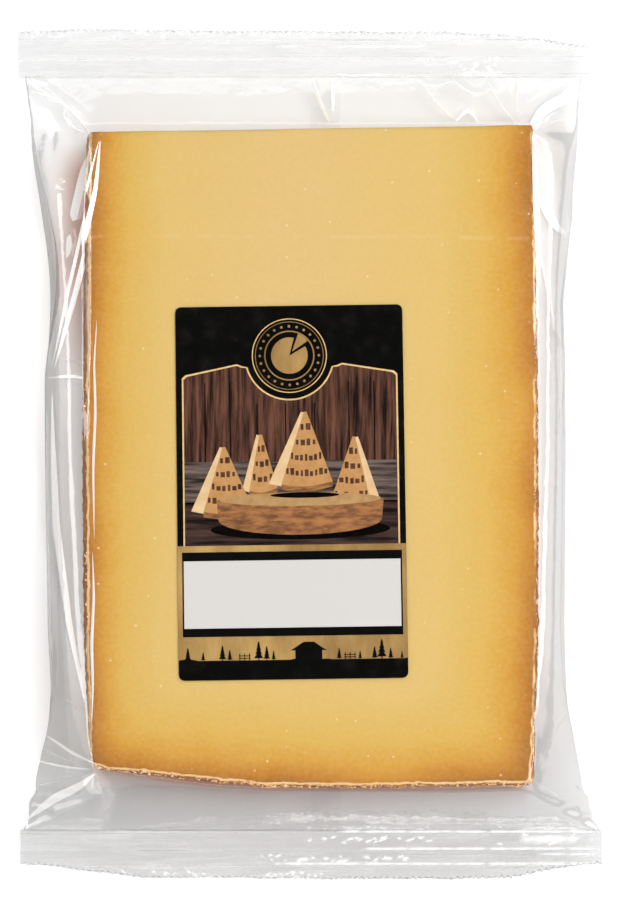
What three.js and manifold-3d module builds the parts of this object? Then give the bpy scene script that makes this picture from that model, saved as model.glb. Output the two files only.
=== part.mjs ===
// A wedge of hard mountain cheese, wrapped in clear film.
//
// The cheese is a radial slice of a large round wheel, with its pointed end cut away. It lies on one
// of its two cut faces, so the wheel's axis runs along X, the heel of the wheel points to -Y, and the
// piece gets thicker towards the heel. The wheel's two flat sides, with their rind, are at -X and +X.
// One web of clear film is folded round it into a sleeve. A long seam closes the sleeve underneath,
// and a crimped seal closes each end. A printed label is stuck to the film on the upper face.
//
// Millimetres, +Z up. The origin is the middle of the pack on the surface that it lies on.

import * as THREE from "three";
import { mergeVertices } from "three/addons/utils/BufferGeometryUtils.js";
import Module from "manifold-3d";

const wasm = await Module();
wasm.setup();

// Driving dimensions.
const WHEEL_RADIUS = 300;
const WHEEL_HALF_HEIGHT = 56.6; // in the middle of the radius, where the sides bulge a little
const SECTOR_ANGLE = THREE.MathUtils.degToRad(5.6);
const HEEL_Y = -83.1; // where the heel meets the upper cut face
const INNER_CUT_Y = 81.7; // where the pointed end was cut away, at X = 0
const INNER_CUT_SLANT = THREE.MathUtils.degToRad(0.9);

const PACK_WIDTH = 147; // of the sleeve pressed flat
const PACK_LENGTH = 214.4;
const FILM = 0.4; // the film as a solid: the real one is about 0.08
const GAP = 0.3; // between pieces that touch
const SEAL_LENGTH = 11.6; // of each end seal, along Y
const HEEL_SEAL_Z = 14.5; // each end seal lies at half the height of the cheese there
const TIP_SEAL_Z = 7.2;
const WAIST_HALF_WIDTH = 65.6; // of the sleeve beside the cheese
const SEAM_X = 3.5;
const SEAM_WIDTH = 8;

const LABEL_WIDTH = 57;
const LABEL_LENGTH = 93.6;
const LABEL_THICKNESS = 0.25;
const LABEL_CORNER = 2.3;
const LABEL_CENTRE = new THREE.Vector2(-5.1, -9.9);
const LABEL_TURN = THREE.MathUtils.degToRad(0.8);

// Worked out from those.
const CHEESE_Z = FILM + GAP; // the cheese lies on the film
const AXIS_Y = HEEL_Y + WHEEL_RADIUS * Math.cos(SECTOR_ANGLE); // the wheel's axis
const SLOPE = Math.tan(SECTOR_ANGLE);
const SLEEVE_END = PACK_LENGTH / 2 - SEAL_LENGTH - GAP; // the sleeve runs from -SLEEVE_END to +SLEEVE_END
const FOLD_HALF_HEIGHT = FILM + 0.25; // of the sleeve's flattened ends

const lerp = THREE.MathUtils.lerp;
const smooth = THREE.MathUtils.smoothstep;

// ---------------------------------------------------------------- solids

// A closed geometry as a manifold-3d solid.
function solidOf(geometry) {
  const bare = geometry.clone();
  bare.deleteAttribute("normal");
  bare.deleteAttribute("uv");
  const merged = mergeVertices(bare, 1e-4);
  return new wasm.Manifold(
    new wasm.Mesh({
      numProp: 3,
      vertProperties: new Float32Array(merged.attributes.position.array),
      triVerts: new Uint32Array(merged.index.array),
    }),
  );
}

// A manifold-3d solid as a geometry with flat faces.
function geometryOf(solid) {
  const { vertProperties, triVerts } = solid.getMesh();
  const shared = new THREE.BufferGeometry()
    .setAttribute("position", new THREE.BufferAttribute(vertProperties, 3))
    .setIndex(new THREE.BufferAttribute(triVerts, 1));
  const geometry = shared.toNonIndexed();
  geometry.computeVertexNormals();
  return geometry;
}

// An outline in the Y-Z plane made into a solid from X = from to X = to.
function alongX(outline, from, to) {
  const shape = new THREE.Shape(outline);
  const geometry = new THREE.ExtrudeGeometry(shape, { depth: to - from, bevelEnabled: false });
  // The shape's x and y become Y and Z, and its depth becomes X.
  const turn = new THREE.Matrix4().makeBasis(
    new THREE.Vector3(0, 1, 0),
    new THREE.Vector3(0, 0, 1),
    new THREE.Vector3(1, 0, 0),
  );
  return geometry.applyMatrix4(turn).translate(from, 0, 0);
}

// Rings with the same number of points, joined in order into one closed solid.
function loft(rings) {
  const count = rings[0].length;
  const positions = rings.flat().flatMap((p) => [p.x, p.y, p.z]);
  const triangles = [];
  for (let ring = 0; ring < rings.length - 1; ring++) {
    for (let i = 0; i < count; i++) {
      const a = ring * count + i;
      const b = ring * count + ((i + 1) % count);
      triangles.push(a, a + count, b, b, a + count, b + count);
    }
  }
  const flat = rings[0].map((p) => new THREE.Vector2(p.x, p.z));
  const last = (rings.length - 1) * count;
  const lastFlat = rings.at(-1).map((p) => new THREE.Vector2(p.x, p.z));
  for (const [a, b, c] of THREE.ShapeUtils.triangulateShape(flat, [])) {
    triangles.push(a, b, c);
  }
  for (const [a, b, c] of THREE.ShapeUtils.triangulateShape(lastFlat, [])) {
    triangles.push(last + a, last + c, last + b);
  }
  const geometry = new THREE.BufferGeometry();
  geometry.setAttribute("position", new THREE.Float32BufferAttribute(positions, 3));
  geometry.setIndex(triangles);
  const loose = geometry.toNonIndexed();
  loose.computeVertexNormals();
  return loose;
}

// ---------------------------------------------------------------- the cheese

// Height of the cheese's upper cut face above the surface that the pack lies on.
function upperFaceZ(y) {
  return CHEESE_Z + (AXIS_Y - y) * SLOPE;
}

// The wheel's profile, as (radius, distance along the axis). The rim leans and bulges a little, as a
// wheel that was turned on its shelf while it ripened.
function wheelProfile() {
  const half = WHEEL_HALF_HEIGHT;
  const r = WHEEL_RADIUS;
  const profile = new THREE.Path();
  profile.moveTo(0, -half + 1.2);
  profile.lineTo(r - 165, -half + 0.7);
  profile.quadraticCurveTo(r - 95, -half - 0.7, r - 34, -half + 0.6);
  profile.quadraticCurveTo(r - 16, -half + 1.3, r - 9.5, -half + 1.9);
  profile.quadraticCurveTo(r - 4.6, -half + 2.2, r - 4.2, -half + 5.6);
  profile.bezierCurveTo(r - 3, -half + 22, r + 0.2, -half + 42, r, -half + 60);
  profile.bezierCurveTo(r, -half + 76, r - 0.7, half - 14, r - 0.7, half - 3.4);
  profile.quadraticCurveTo(r - 0.9, half - 1.7, r - 3, half - 1.5);
  profile.quadraticCurveTo(r - 18, half - 0.9, r - 34, half - 0.2);
  profile.quadraticCurveTo(r - 95, half + 0.7, r - 165, half - 0.7);
  profile.lineTo(0, half - 1.2);
  return profile.getPoints(8);
}

function cheeseGeometry() {
  const wheelSegments = 360;
  const wheel = new THREE.LatheGeometry(wheelProfile(), wheelSegments);
  wheel.rotateZ(-Math.PI / 2); // the lathe's axis becomes X
  wheel.translate(0, AXIS_Y, CHEESE_Z);

  // Between the two cuts through the wheel's axis.
  const beyond = WHEEL_RADIUS + 10;
  const sector = alongX(
    [
      new THREE.Vector2(AXIS_Y, CHEESE_Z),
      new THREE.Vector2(AXIS_Y - beyond, CHEESE_Z),
      new THREE.Vector2(AXIS_Y - beyond, upperFaceZ(AXIS_Y - beyond)),
    ].reverse(),
    -PACK_WIDTH / 2,
    PACK_WIDTH / 2,
  );

  // The pointed end is cut away a little out of square.
  const tip = new THREE.BoxGeometry(PACK_WIDTH * 2, beyond, 200);
  tip.translate(0, beyond / 2, 0);
  tip.rotateZ(INNER_CUT_SLANT);
  tip.translate(0, INNER_CUT_Y, 0);

  return geometryOf(solidOf(wheel).intersect(solidOf(sector)).subtract(solidOf(tip)));
}

// ---------------------------------------------------------------- the film

// How far Y lies, from 0 to 1, between the end of the cheese and the end seal.
function endShare(y, cheeseEnd) {
  const beyond = (Math.abs(y) - Math.abs(cheeseEnd)) / (SLEEVE_END - Math.abs(cheeseEnd));
  return THREE.MathUtils.clamp(beyond, 0, 1);
}

const UPPER_HEEL_END = HEEL_Y - 1.1; // where the film leaves the cheese
const LOWER_HEEL_END = AXIS_Y - WHEEL_RADIUS - 1.1;
const TIP_END = INNER_CUT_Y + 2.1;

// The outside of the sleeve across the pack at Y, as the numbers that its section needs.
function sleeveAt(y) {
  const heelSide = y < 0;
  const sealZ = heelSide ? HEEL_SEAL_Z : TIP_SEAL_Z;
  const upperEnd = heelSide ? UPPER_HEEL_END : TIP_END;
  const lowerEnd = heelSide ? LOWER_HEEL_END : TIP_END;
  const upperShare = endShare(y, upperEnd);
  const lowerShare = endShare(y, lowerEnd);
  const overCheese = upperFaceZ(THREE.MathUtils.clamp(y, UPPER_HEEL_END, TIP_END)) + GAP + FILM;
  const flare = smooth(Math.abs(y), heelSide ? 62 : 52, SLEEVE_END);
  const halfWidth = lerp(WAIST_HALF_WIDTH, PACK_WIDTH / 2, flare);
  const top = lerp(overCheese, sealZ + FOLD_HALF_HEIGHT, upperShare);
  const bottom = lerp(0, sealZ - FOLD_HALF_HEIGHT, lowerShare);
  const shoulder = lerp(WHEEL_HALF_HEIGHT + 1.6, PACK_WIDTH / 2 - 1.4, Math.min(upperShare, lowerShare));
  return { halfWidth, top, bottom, shoulder };
}

// Half-round turns of the film at the two side folds, drawn through the same number of points at
// every station. inset moves the whole outline inwards, for the inner face of the film.
function sleeveOutline(y, inset) {
  const station = sleeveAt(y);
  const halfWidth = station.halfWidth - inset;
  const top = station.top - inset;
  const bottom = station.bottom + inset;
  const shoulder = station.shoulder - inset / 2;
  const fold = (top + bottom) / 2;
  const turn = Math.min(1.2, (top - bottom) / 2); // half the height of the round turn at a fold
  const reach = halfWidth - turn;
  const right = new THREE.Path();
  right.moveTo(SEAM_X + SEAM_WIDTH / 2 + GAP, bottom);
  right.lineTo(shoulder, bottom);
  right.lineTo(reach, fold - turn);
  right.quadraticCurveTo(halfWidth + turn * 0.4, fold, reach, fold + turn);
  right.lineTo(shoulder, top);
  const left = new THREE.Path();
  left.moveTo(-shoulder, top);
  left.lineTo(-reach, fold + turn);
  left.quadraticCurveTo(-halfWidth - turn * 0.4, fold, -reach, fold - turn);
  left.lineTo(-shoulder, bottom);
  left.lineTo(SEAM_X - SEAM_WIDTH / 2 - GAP, bottom);
  const curve = 4;
  return [...right.getPoints(curve), ...left.getPoints(curve)].map((p) => new THREE.Vector3(p.x, y, p.y));
}

function sleeveStations() {
  const spacing = 8;
  const flat = [];
  for (let y = LOWER_HEEL_END + spacing; y < TIP_END - spacing / 2; y += spacing) {
    flat.push(y);
  }
  const heel = [0, 0.35, 0.7].map((share) => lerp(-SLEEVE_END, LOWER_HEEL_END, share));
  const tip = [0.35, 0.7, 1].map((share) => lerp(TIP_END, SLEEVE_END, share));
  return [...heel, LOWER_HEEL_END, UPPER_HEEL_END, ...flat, TIP_END, ...tip];
}

function sleeveGeometry() {
  const rings = sleeveStations().map((y) => [
    ...sleeveOutline(y, 0),
    ...sleeveOutline(y, FILM).reverse(),
  ]);
  return loft(rings);
}

// The seam fills the slot under the sleeve, and rises with it at both ends.
function seamGeometry() {
  const ends = [-SLEEVE_END, LOWER_HEEL_END, TIP_END, SLEEVE_END];
  const under = ends.map((y) => new THREE.Vector2(y, sleeveAt(y).bottom));
  const over = under.map((p) => new THREE.Vector2(p.x, p.y + FILM)).reverse();
  return alongX([...under, ...over], SEAM_X - SEAM_WIDTH / 2, SEAM_X + SEAM_WIDTH / 2);
}

// An end seal, drawn for the +Y end with its inner edge at Y = 0 and its middle at Z = 0: a band
// crimped into ridges along X, with a plain margin that a zigzag knife has cut.
function sealGeometry() {
  const ridges = 4;
  const ridgeHeight = 0.3;
  const margin = 3;
  const crimped = SEAL_LENGTH - margin;
  const steps = ridges * 6;
  const waves = Array.from({ length: steps + 1 }, (_, i) => {
    const share = i / steps;
    return new THREE.Vector2(share * crimped, (ridgeHeight / 2) * Math.sin(2 * Math.PI * ridges * share));
  });
  const middle = [...waves, new THREE.Vector2(SEAL_LENGTH, 0)];
  const under = middle.map((p) => new THREE.Vector2(p.x, p.y - FILM));
  const over = middle.map((p) => new THREE.Vector2(p.x, p.y + FILM)).reverse();
  const band = alongX([...under, ...over], -PACK_WIDTH / 2, PACK_WIDTH / 2);

  const teeth = 70;
  const toothDepth = 0.9;
  const pitch = PACK_WIDTH / teeth;
  const knife = new THREE.Shape();
  knife.moveTo(-PACK_WIDTH / 2 - pitch, SEAL_LENGTH + 2);
  knife.lineTo(-PACK_WIDTH / 2 - pitch, SEAL_LENGTH - toothDepth);
  for (let tooth = 0; tooth <= teeth; tooth++) {
    const x = -PACK_WIDTH / 2 + tooth * pitch;
    knife.lineTo(x - pitch / 2, SEAL_LENGTH);
    knife.lineTo(x, SEAL_LENGTH - toothDepth);
  }
  knife.lineTo(PACK_WIDTH / 2 + pitch, SEAL_LENGTH);
  knife.lineTo(PACK_WIDTH / 2 + pitch, SEAL_LENGTH + 2);
  const cutter = new THREE.ExtrudeGeometry(knife, { depth: 4, bevelEnabled: false }).translate(0, 0, -2);
  return geometryOf(solidOf(band).subtract(solidOf(cutter)));
}

// ---------------------------------------------------------------- the label

function labelGeometry() {
  const w = LABEL_WIDTH / 2;
  const l = LABEL_LENGTH / 2;
  const r = LABEL_CORNER;
  const outline = new THREE.Shape();
  outline.absarc(w - r, l - r, r, 0, Math.PI / 2);
  outline.absarc(-w + r, l - r, r, Math.PI / 2, Math.PI);
  outline.absarc(-w + r, -l + r, r, Math.PI, (3 * Math.PI) / 2);
  outline.absarc(w - r, -l + r, r, (3 * Math.PI) / 2, 2 * Math.PI);
  return new THREE.ExtrudeGeometry(outline, {
    depth: LABEL_THICKNESS,
    bevelEnabled: false,
    curveSegments: 8,
  });
}

// ---------------------------------------------------------------- materials

const cheeseMaterial = new THREE.MeshStandardMaterial({ color: 0xe6bf7a, roughness: 0.5, metalness: 0 });
const filmMaterial = new THREE.MeshStandardMaterial({
  color: 0xf1f3f3,
  roughness: 0.08,
  metalness: 0,
  transparent: true,
  opacity: 0.25,
});
const sealMaterial = new THREE.MeshStandardMaterial({
  color: 0xe4e6e6,
  roughness: 0.2,
  metalness: 0,
  transparent: true,
  opacity: 0.4,
});
const labelMaterial = new THREE.MeshStandardMaterial({ color: 0x1d1a17, roughness: 0.35, metalness: 0 });

// ---------------------------------------------------------------- the pack

const pack = new THREE.Group();

function add(name, geometry, material, parent = pack) {
  const mesh = new THREE.Mesh(geometry, material);
  mesh.name = name;
  parent.add(mesh);
  return mesh;
}

add("cheese", cheeseGeometry(), cheeseMaterial);
add("film_sleeve", sleeveGeometry(), filmMaterial);
add("film_back_seam", seamGeometry(), sealMaterial);

const tipSeal = add("film_tip_end_seal", sealGeometry(), sealMaterial);
tipSeal.position.set(0, SLEEVE_END + GAP, TIP_SEAL_Z);

const heelSeal = add("film_heel_end_seal", sealGeometry(), sealMaterial);
heelSeal.rotation.z = Math.PI;
heelSeal.position.set(0, -SLEEVE_END - GAP, HEEL_SEAL_Z);

// The label lies on the film, in the slope of the upper cut face.
const labelSeat = new THREE.Group();
labelSeat.position.set(
  LABEL_CENTRE.x,
  LABEL_CENTRE.y,
  upperFaceZ(LABEL_CENTRE.y) + (2 * GAP + FILM) / Math.cos(SECTOR_ANGLE),
);
labelSeat.rotation.x = -SECTOR_ANGLE;
pack.add(labelSeat);
const label = add("label", labelGeometry(), labelMaterial, labelSeat);
label.rotation.z = LABEL_TURN;

export default pack;
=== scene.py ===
"""A wedge of hard mountain cheese in a clear film pack, dressed for the studio.

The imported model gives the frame. The cheese, the film and the label are each made again in finer
detail, in the place that the frame gives them. Sizes are in metres unless a name says otherwise.
"""

import logging
import math
from dataclasses import dataclass, field
from enum import Enum
from typing import Sequence

import bpy
import numpy as np
from mathutils import Matrix, Vector, noise

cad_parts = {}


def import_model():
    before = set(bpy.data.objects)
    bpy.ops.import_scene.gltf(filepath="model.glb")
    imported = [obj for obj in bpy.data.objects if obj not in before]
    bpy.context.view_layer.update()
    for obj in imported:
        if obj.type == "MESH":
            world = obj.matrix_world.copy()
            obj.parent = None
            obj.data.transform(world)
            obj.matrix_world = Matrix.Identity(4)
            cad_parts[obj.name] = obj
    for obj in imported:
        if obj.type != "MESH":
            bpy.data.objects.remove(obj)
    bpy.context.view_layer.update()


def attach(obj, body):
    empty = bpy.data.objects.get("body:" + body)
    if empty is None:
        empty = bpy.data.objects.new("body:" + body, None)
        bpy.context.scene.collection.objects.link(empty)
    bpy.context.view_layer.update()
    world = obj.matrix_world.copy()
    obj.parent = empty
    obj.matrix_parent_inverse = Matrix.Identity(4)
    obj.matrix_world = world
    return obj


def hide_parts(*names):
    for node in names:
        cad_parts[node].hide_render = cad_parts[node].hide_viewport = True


LOG = logging.getLogger("cheese_pack")
MM = 0.001
BODY = "root"

# places that more than one piece needs, in millimetres
SEAM_X = 3.5
HEEL_SEAL_Z = 14.5
TIP_SEAL_Z = 7.2
LABEL_CENTRE = (-5.1, -9.9)

NodeTree = bpy.types.NodeTree
Node = bpy.types.Node
Socket = bpy.types.NodeSocket


class Slot(str, Enum):
    """The record's material slots."""

    CHEESE = "cheese_paste"
    FILM = "clear_film"
    SEALED = "sealed_film"
    LABEL = "label_print"


# ------------------------------------------------------------------ node helpers


def linear(code: str) -> tuple[float, float, float, float]:
    """A colour for a shader.

    Args:
        code: the colour as six hexadecimal digits, as seen on a screen.

    Returns:
        The same colour in scene-linear values, with alpha 1.
    """
    values = [int(code[i : i + 2], 16) / 255 for i in (0, 2, 4)]
    red, green, blue = [v / 12.92 if v <= 0.04045 else ((v + 0.055) / 1.055) ** 2.4 for v in values]
    return (red, green, blue, 1.0)


class Wiring:
    """Adds nodes to one node tree and joins them up."""

    def __init__(self, tree: NodeTree) -> None:
        """Takes the tree to work in.

        Args:
            tree: a material's tree or a node group.
        """
        self.tree = tree

    def put(self, target: Socket, value: object) -> None:
        """Gives an input its value: a link where the value is a socket, else a plain setting.

        Args:
            target: the input socket.
            value: an output socket, a number, a colour or a vector.
        """
        if isinstance(value, bpy.types.NodeSocket):
            self.tree.links.new(value, target)
        elif value is not None:
            target.default_value = value

    def node(self, kind: str, inputs: dict | None = None, **settings: object) -> Node:
        """Adds a node.

        Args:
            kind: the node's type name, such as ShaderNodeMath.
            inputs: values for its inputs, by name or index.
            settings: values for its own properties.

        Returns:
            The new node.
        """
        made = self.tree.nodes.new(kind)
        for name, value in settings.items():
            setattr(made, name, value)
        for key, value in (inputs or {}).items():
            self.put(made.inputs[key], value)
        return made

    def math(self, operation: str, *values: object, clamp: bool = False) -> Socket:
        """One sum on numbers.

        Args:
            operation: the Math node's operation.
            values: its one to three inputs.
            clamp: True to keep the result from 0 to 1.

        Returns:
            The result's socket.
        """
        made = self.node("ShaderNodeMath", dict(enumerate(values)), operation=operation, use_clamp=clamp)
        return made.outputs[0]

    def times(self, first: object, second: object) -> Socket:
        """One number times another."""
        return self.math("MULTIPLY", first, second)

    def centred(self, value: Socket, size: float) -> Socket:
        """A pattern that swings about zero: its value less a half, times size."""
        return self.times(self.math("SUBTRACT", value, 0.5), size)

    def mix(self, factor: object, low: object, high: object) -> Socket:
        """Mixes two colours.

        Args:
            factor: 0 for low, 1 for high.
            low: the first colour.
            high: the second colour.

        Returns:
            The mixed colour's socket.
        """
        made = self.node("ShaderNodeMix", data_type="RGBA")
        self.put(made.inputs[0], factor)
        self.put(made.inputs[6], low)
        self.put(made.inputs[7], high)
        return made.outputs[2]

    def ramp(self, factor: Socket, stops: Sequence[tuple[float, str]]) -> Socket:
        """A colour that changes along a value.

        Args:
            factor: the value.
            stops: places from 0 to 1, each with a colour code.

        Returns:
            The colour's socket.
        """
        made = self.node("ShaderNodeValToRGB")
        line = made.color_ramp
        while len(line.elements) < len(stops):
            line.elements.new(0.5)
        for element, (place, code) in zip(line.elements, stops):
            element.position = place
            element.color = linear(code)
        self.put(made.inputs[0], factor)
        return made.outputs[0]

    def span(self, value: object, low: float, high: float, out: tuple[float, float] = (0, 1)) -> Socket:
        """Maps a range onto another, smoothly and with its ends held.

        Args:
            value: the value to map.
            low: where the range begins.
            high: where it ends.
            out: what its two ends become.

        Returns:
            The mapped value's socket.
        """
        made = self.node(
            "ShaderNodeMapRange",
            {0: value, 1: low, 2: high, 3: out[0], 4: out[1]},
            interpolation_type="SMOOTHSTEP",
        )
        return made.outputs[0]

    def place(self, scale: tuple[float, float, float] = (1, 1, 1)) -> Socket:
        """Object coordinates, with a pattern made finer along each axis by scale."""
        source = self.node("ShaderNodeTexCoord").outputs["Object"]
        return self.node("ShaderNodeMapping", {"Vector": source, "Scale": scale}).outputs[0]

    def attribute(self, name: str) -> Socket:
        """The number that a mesh's attribute holds."""
        return self.node("ShaderNodeAttribute", attribute_name=name).outputs["Fac"]

    def axis(self, vector: Socket, index: int) -> Socket:
        """One part of a vector."""
        return self.node("ShaderNodeSeparateXYZ", {0: vector}).outputs[index]

    def bump(self, strength: float, distance: float, height: Socket) -> Socket:
        """The normals of a surface that a height roughens."""
        values = {"Strength": strength, "Distance": distance, "Height": height}
        return self.node("ShaderNodeBump", values).outputs[0]

    def noise(self, vector: Socket, scale: float, detail: float = 4, rough: float = 0.55) -> Socket:
        """A cloudy pattern.

        Args:
            vector: where to read it.
            scale: how fine it is, in clouds a metre.
            detail: how many finer layers it has.
            rough: how strong those are.

        Returns:
            The pattern's value, about 0 to 1.
        """
        values = {"Vector": vector, "Scale": scale, "Detail": detail, "Roughness": rough}
        return self.node("ShaderNodeTexNoise", values).outputs["Fac"]


def new_material(name: str) -> tuple[bpy.types.Material, Wiring, Node]:
    """An empty material with its output node.

    Args:
        name: the material's name.

    Returns:
        The material, its wiring and its output node.
    """
    material = bpy.data.materials.new(name)
    material.use_nodes = True
    material.node_tree.nodes.clear()
    wiring = Wiring(material.node_tree)
    return material, wiring, wiring.node("ShaderNodeOutputMaterial")


def new_group(name: str, outputs: Sequence[str]) -> tuple[NodeTree, Wiring, Node]:
    """An empty shader node group that puts out numbers.

    Args:
        name: the group's name.
        outputs: its outputs' names.

    Returns:
        The group, its wiring and its output node.
    """
    group = bpy.data.node_groups.new(name, "ShaderNodeTree")
    for label in outputs:
        group.interface.new_socket(label, in_out="OUTPUT", socket_type="NodeSocketFloat")
    wiring = Wiring(group)
    return group, wiring, wiring.node("NodeGroupOutput")


# ------------------------------------------------------------------ mesh helpers


def deselect() -> None:
    """Deselects every object."""
    bpy.ops.object.select_all(action="DESELECT")


def take(piece: bpy.types.Object) -> None:
    """Makes a piece the only selected one, and the active one."""
    deselect()
    piece.select_set(True)
    bpy.context.view_layer.objects.active = piece


def apply_place(piece: bpy.types.Object) -> None:
    """Moves a piece's place, turn and scale into its mesh."""
    take(piece)
    bpy.ops.object.transform_apply(location=True, rotation=True, scale=True)


def apply_modifier(piece: bpy.types.Object, kind: str, **settings: object) -> None:
    """Adds a modifier and applies it.

    Args:
        piece: the piece.
        kind: the modifier's type.
        settings: values for its properties.
    """
    take(piece)
    modifier = piece.modifiers.new(kind.title(), kind)
    for name, value in settings.items():
        setattr(modifier, name, value)
    bpy.ops.object.modifier_apply(modifier=modifier.name)


def join(pieces: Sequence[bpy.types.Object], name: str) -> bpy.types.Object:
    """Joins pieces into one.

    Args:
        pieces: the pieces; the first keeps its place in the list of materials.
        name: the joined piece's name.

    Returns:
        The joined piece.
    """
    deselect()
    for piece in pieces:
        piece.select_set(True)
    bpy.context.view_layer.objects.active = pieces[0]
    bpy.ops.object.join()
    pieces[0].name = name
    return pieces[0]


def from_grid(name: str, grid: np.ndarray, closed: bool) -> bpy.types.Object:
    """A piece of cloth from a grid of points.

    Args:
        name: the piece's name.
        grid: points by row and column, in metres.
        closed: True where the last column joins the first.

    Returns:
        The new piece.
    """
    rows, cols = grid.shape[:2]
    last = cols if closed else cols - 1
    faces = [
        (r * cols + c, r * cols + (c + 1) % cols, (r + 1) * cols + (c + 1) % cols, (r + 1) * cols + c)
        for r in range(rows - 1)
        for c in range(last)
    ]
    mesh = bpy.data.meshes.new(name)
    mesh.from_pydata(grid.reshape(-1, 3).tolist(), [], faces)
    mesh.update()
    piece = bpy.data.objects.new(name, mesh)
    bpy.context.scene.collection.objects.link(piece)
    return piece


def points_of(mesh: bpy.types.Mesh) -> np.ndarray:
    """A mesh's points, one a row, in millimetres."""
    co = np.zeros(len(mesh.vertices) * 3, np.float32)
    mesh.vertices.foreach_get("co", co)
    return co.reshape(-1, 3) / MM


def normals_of(mesh: bpy.types.Mesh) -> np.ndarray:
    """The normals at a mesh's points, one a row."""
    normal = np.zeros(len(mesh.vertices) * 3, np.float32)
    mesh.vertex_normals.foreach_get("vector", normal)
    return normal.reshape(-1, 3)


def move_points(mesh: bpy.types.Mesh, co: np.ndarray) -> None:
    """Moves a mesh's points to new places, in millimetres."""
    mesh.vertices.foreach_set("co", (co * MM).astype(np.float32).ravel())
    mesh.update()


def mark(mesh: bpy.types.Mesh, label: str, values: np.ndarray) -> None:
    """Gives a mesh an attribute with one number for each point."""
    layer = mesh.attributes.new(label, "FLOAT", "POINT")
    layer.data.foreach_set("value", values.astype(np.float32).ravel())


# ------------------------------------------------------------------ measures shared by the pieces


@dataclass(frozen=True)
class Wedge:
    """The cheese as numbers, in millimetres, for the pieces that lie on it."""

    slope_deg: float = 5.6
    radius: float = 300.0
    heel: float = -83.1
    tip: float = 81.7
    tip_slant: float = 0.0157
    lift: float = 0.7
    side_y: tuple[float, ...] = (-85, -81, -74, -50, 0, 50, 82)
    side_x: tuple[float, ...] = (53.4, 54.7, 55.3, 56.2, 56.65, 56.6, 56.3)
    heel_x: tuple[float, ...] = (-54, -50, -40, -25, -10, 5, 20, 40, 54)
    heel_y: tuple[float, ...] = (-78.4, -79.0, -80.6, -82.4, -83.4, -83.7, -83.6, -83.1, -82.6)

    @property
    def slope(self) -> float:
        """Rise of the upper face for each millimetre towards the heel."""
        return math.tan(math.radians(self.slope_deg))

    @property
    def axis(self) -> float:
        """Y of the wheel's axis."""
        return self.heel + self.radius * math.cos(math.radians(self.slope_deg))

    def top(self, y: np.ndarray | float) -> np.ndarray | float:
        """Height of the upper cut face at Y."""
        return self.lift + (self.axis - y) * self.slope

    def half(self, y: np.ndarray | float) -> np.ndarray | float:
        """Half the wheel's height at Y."""
        return np.interp(y, self.side_y, self.side_x)

    def heel_edge(self, x: np.ndarray) -> np.ndarray:
        """Y of the heel's upper edge at X."""
        return np.interp(x, self.heel_x, self.heel_y)

    def belly(self, y: np.ndarray, z: np.ndarray) -> np.ndarray:
        """How far the left rind stands out at height Z."""
        share = np.clip(z / self.top(y), 0, 1)
        return 1.2 * 4 * share * (1 - share)


WEDGE = Wedge()


# ------------------------------------------------------------------ finishes


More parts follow.
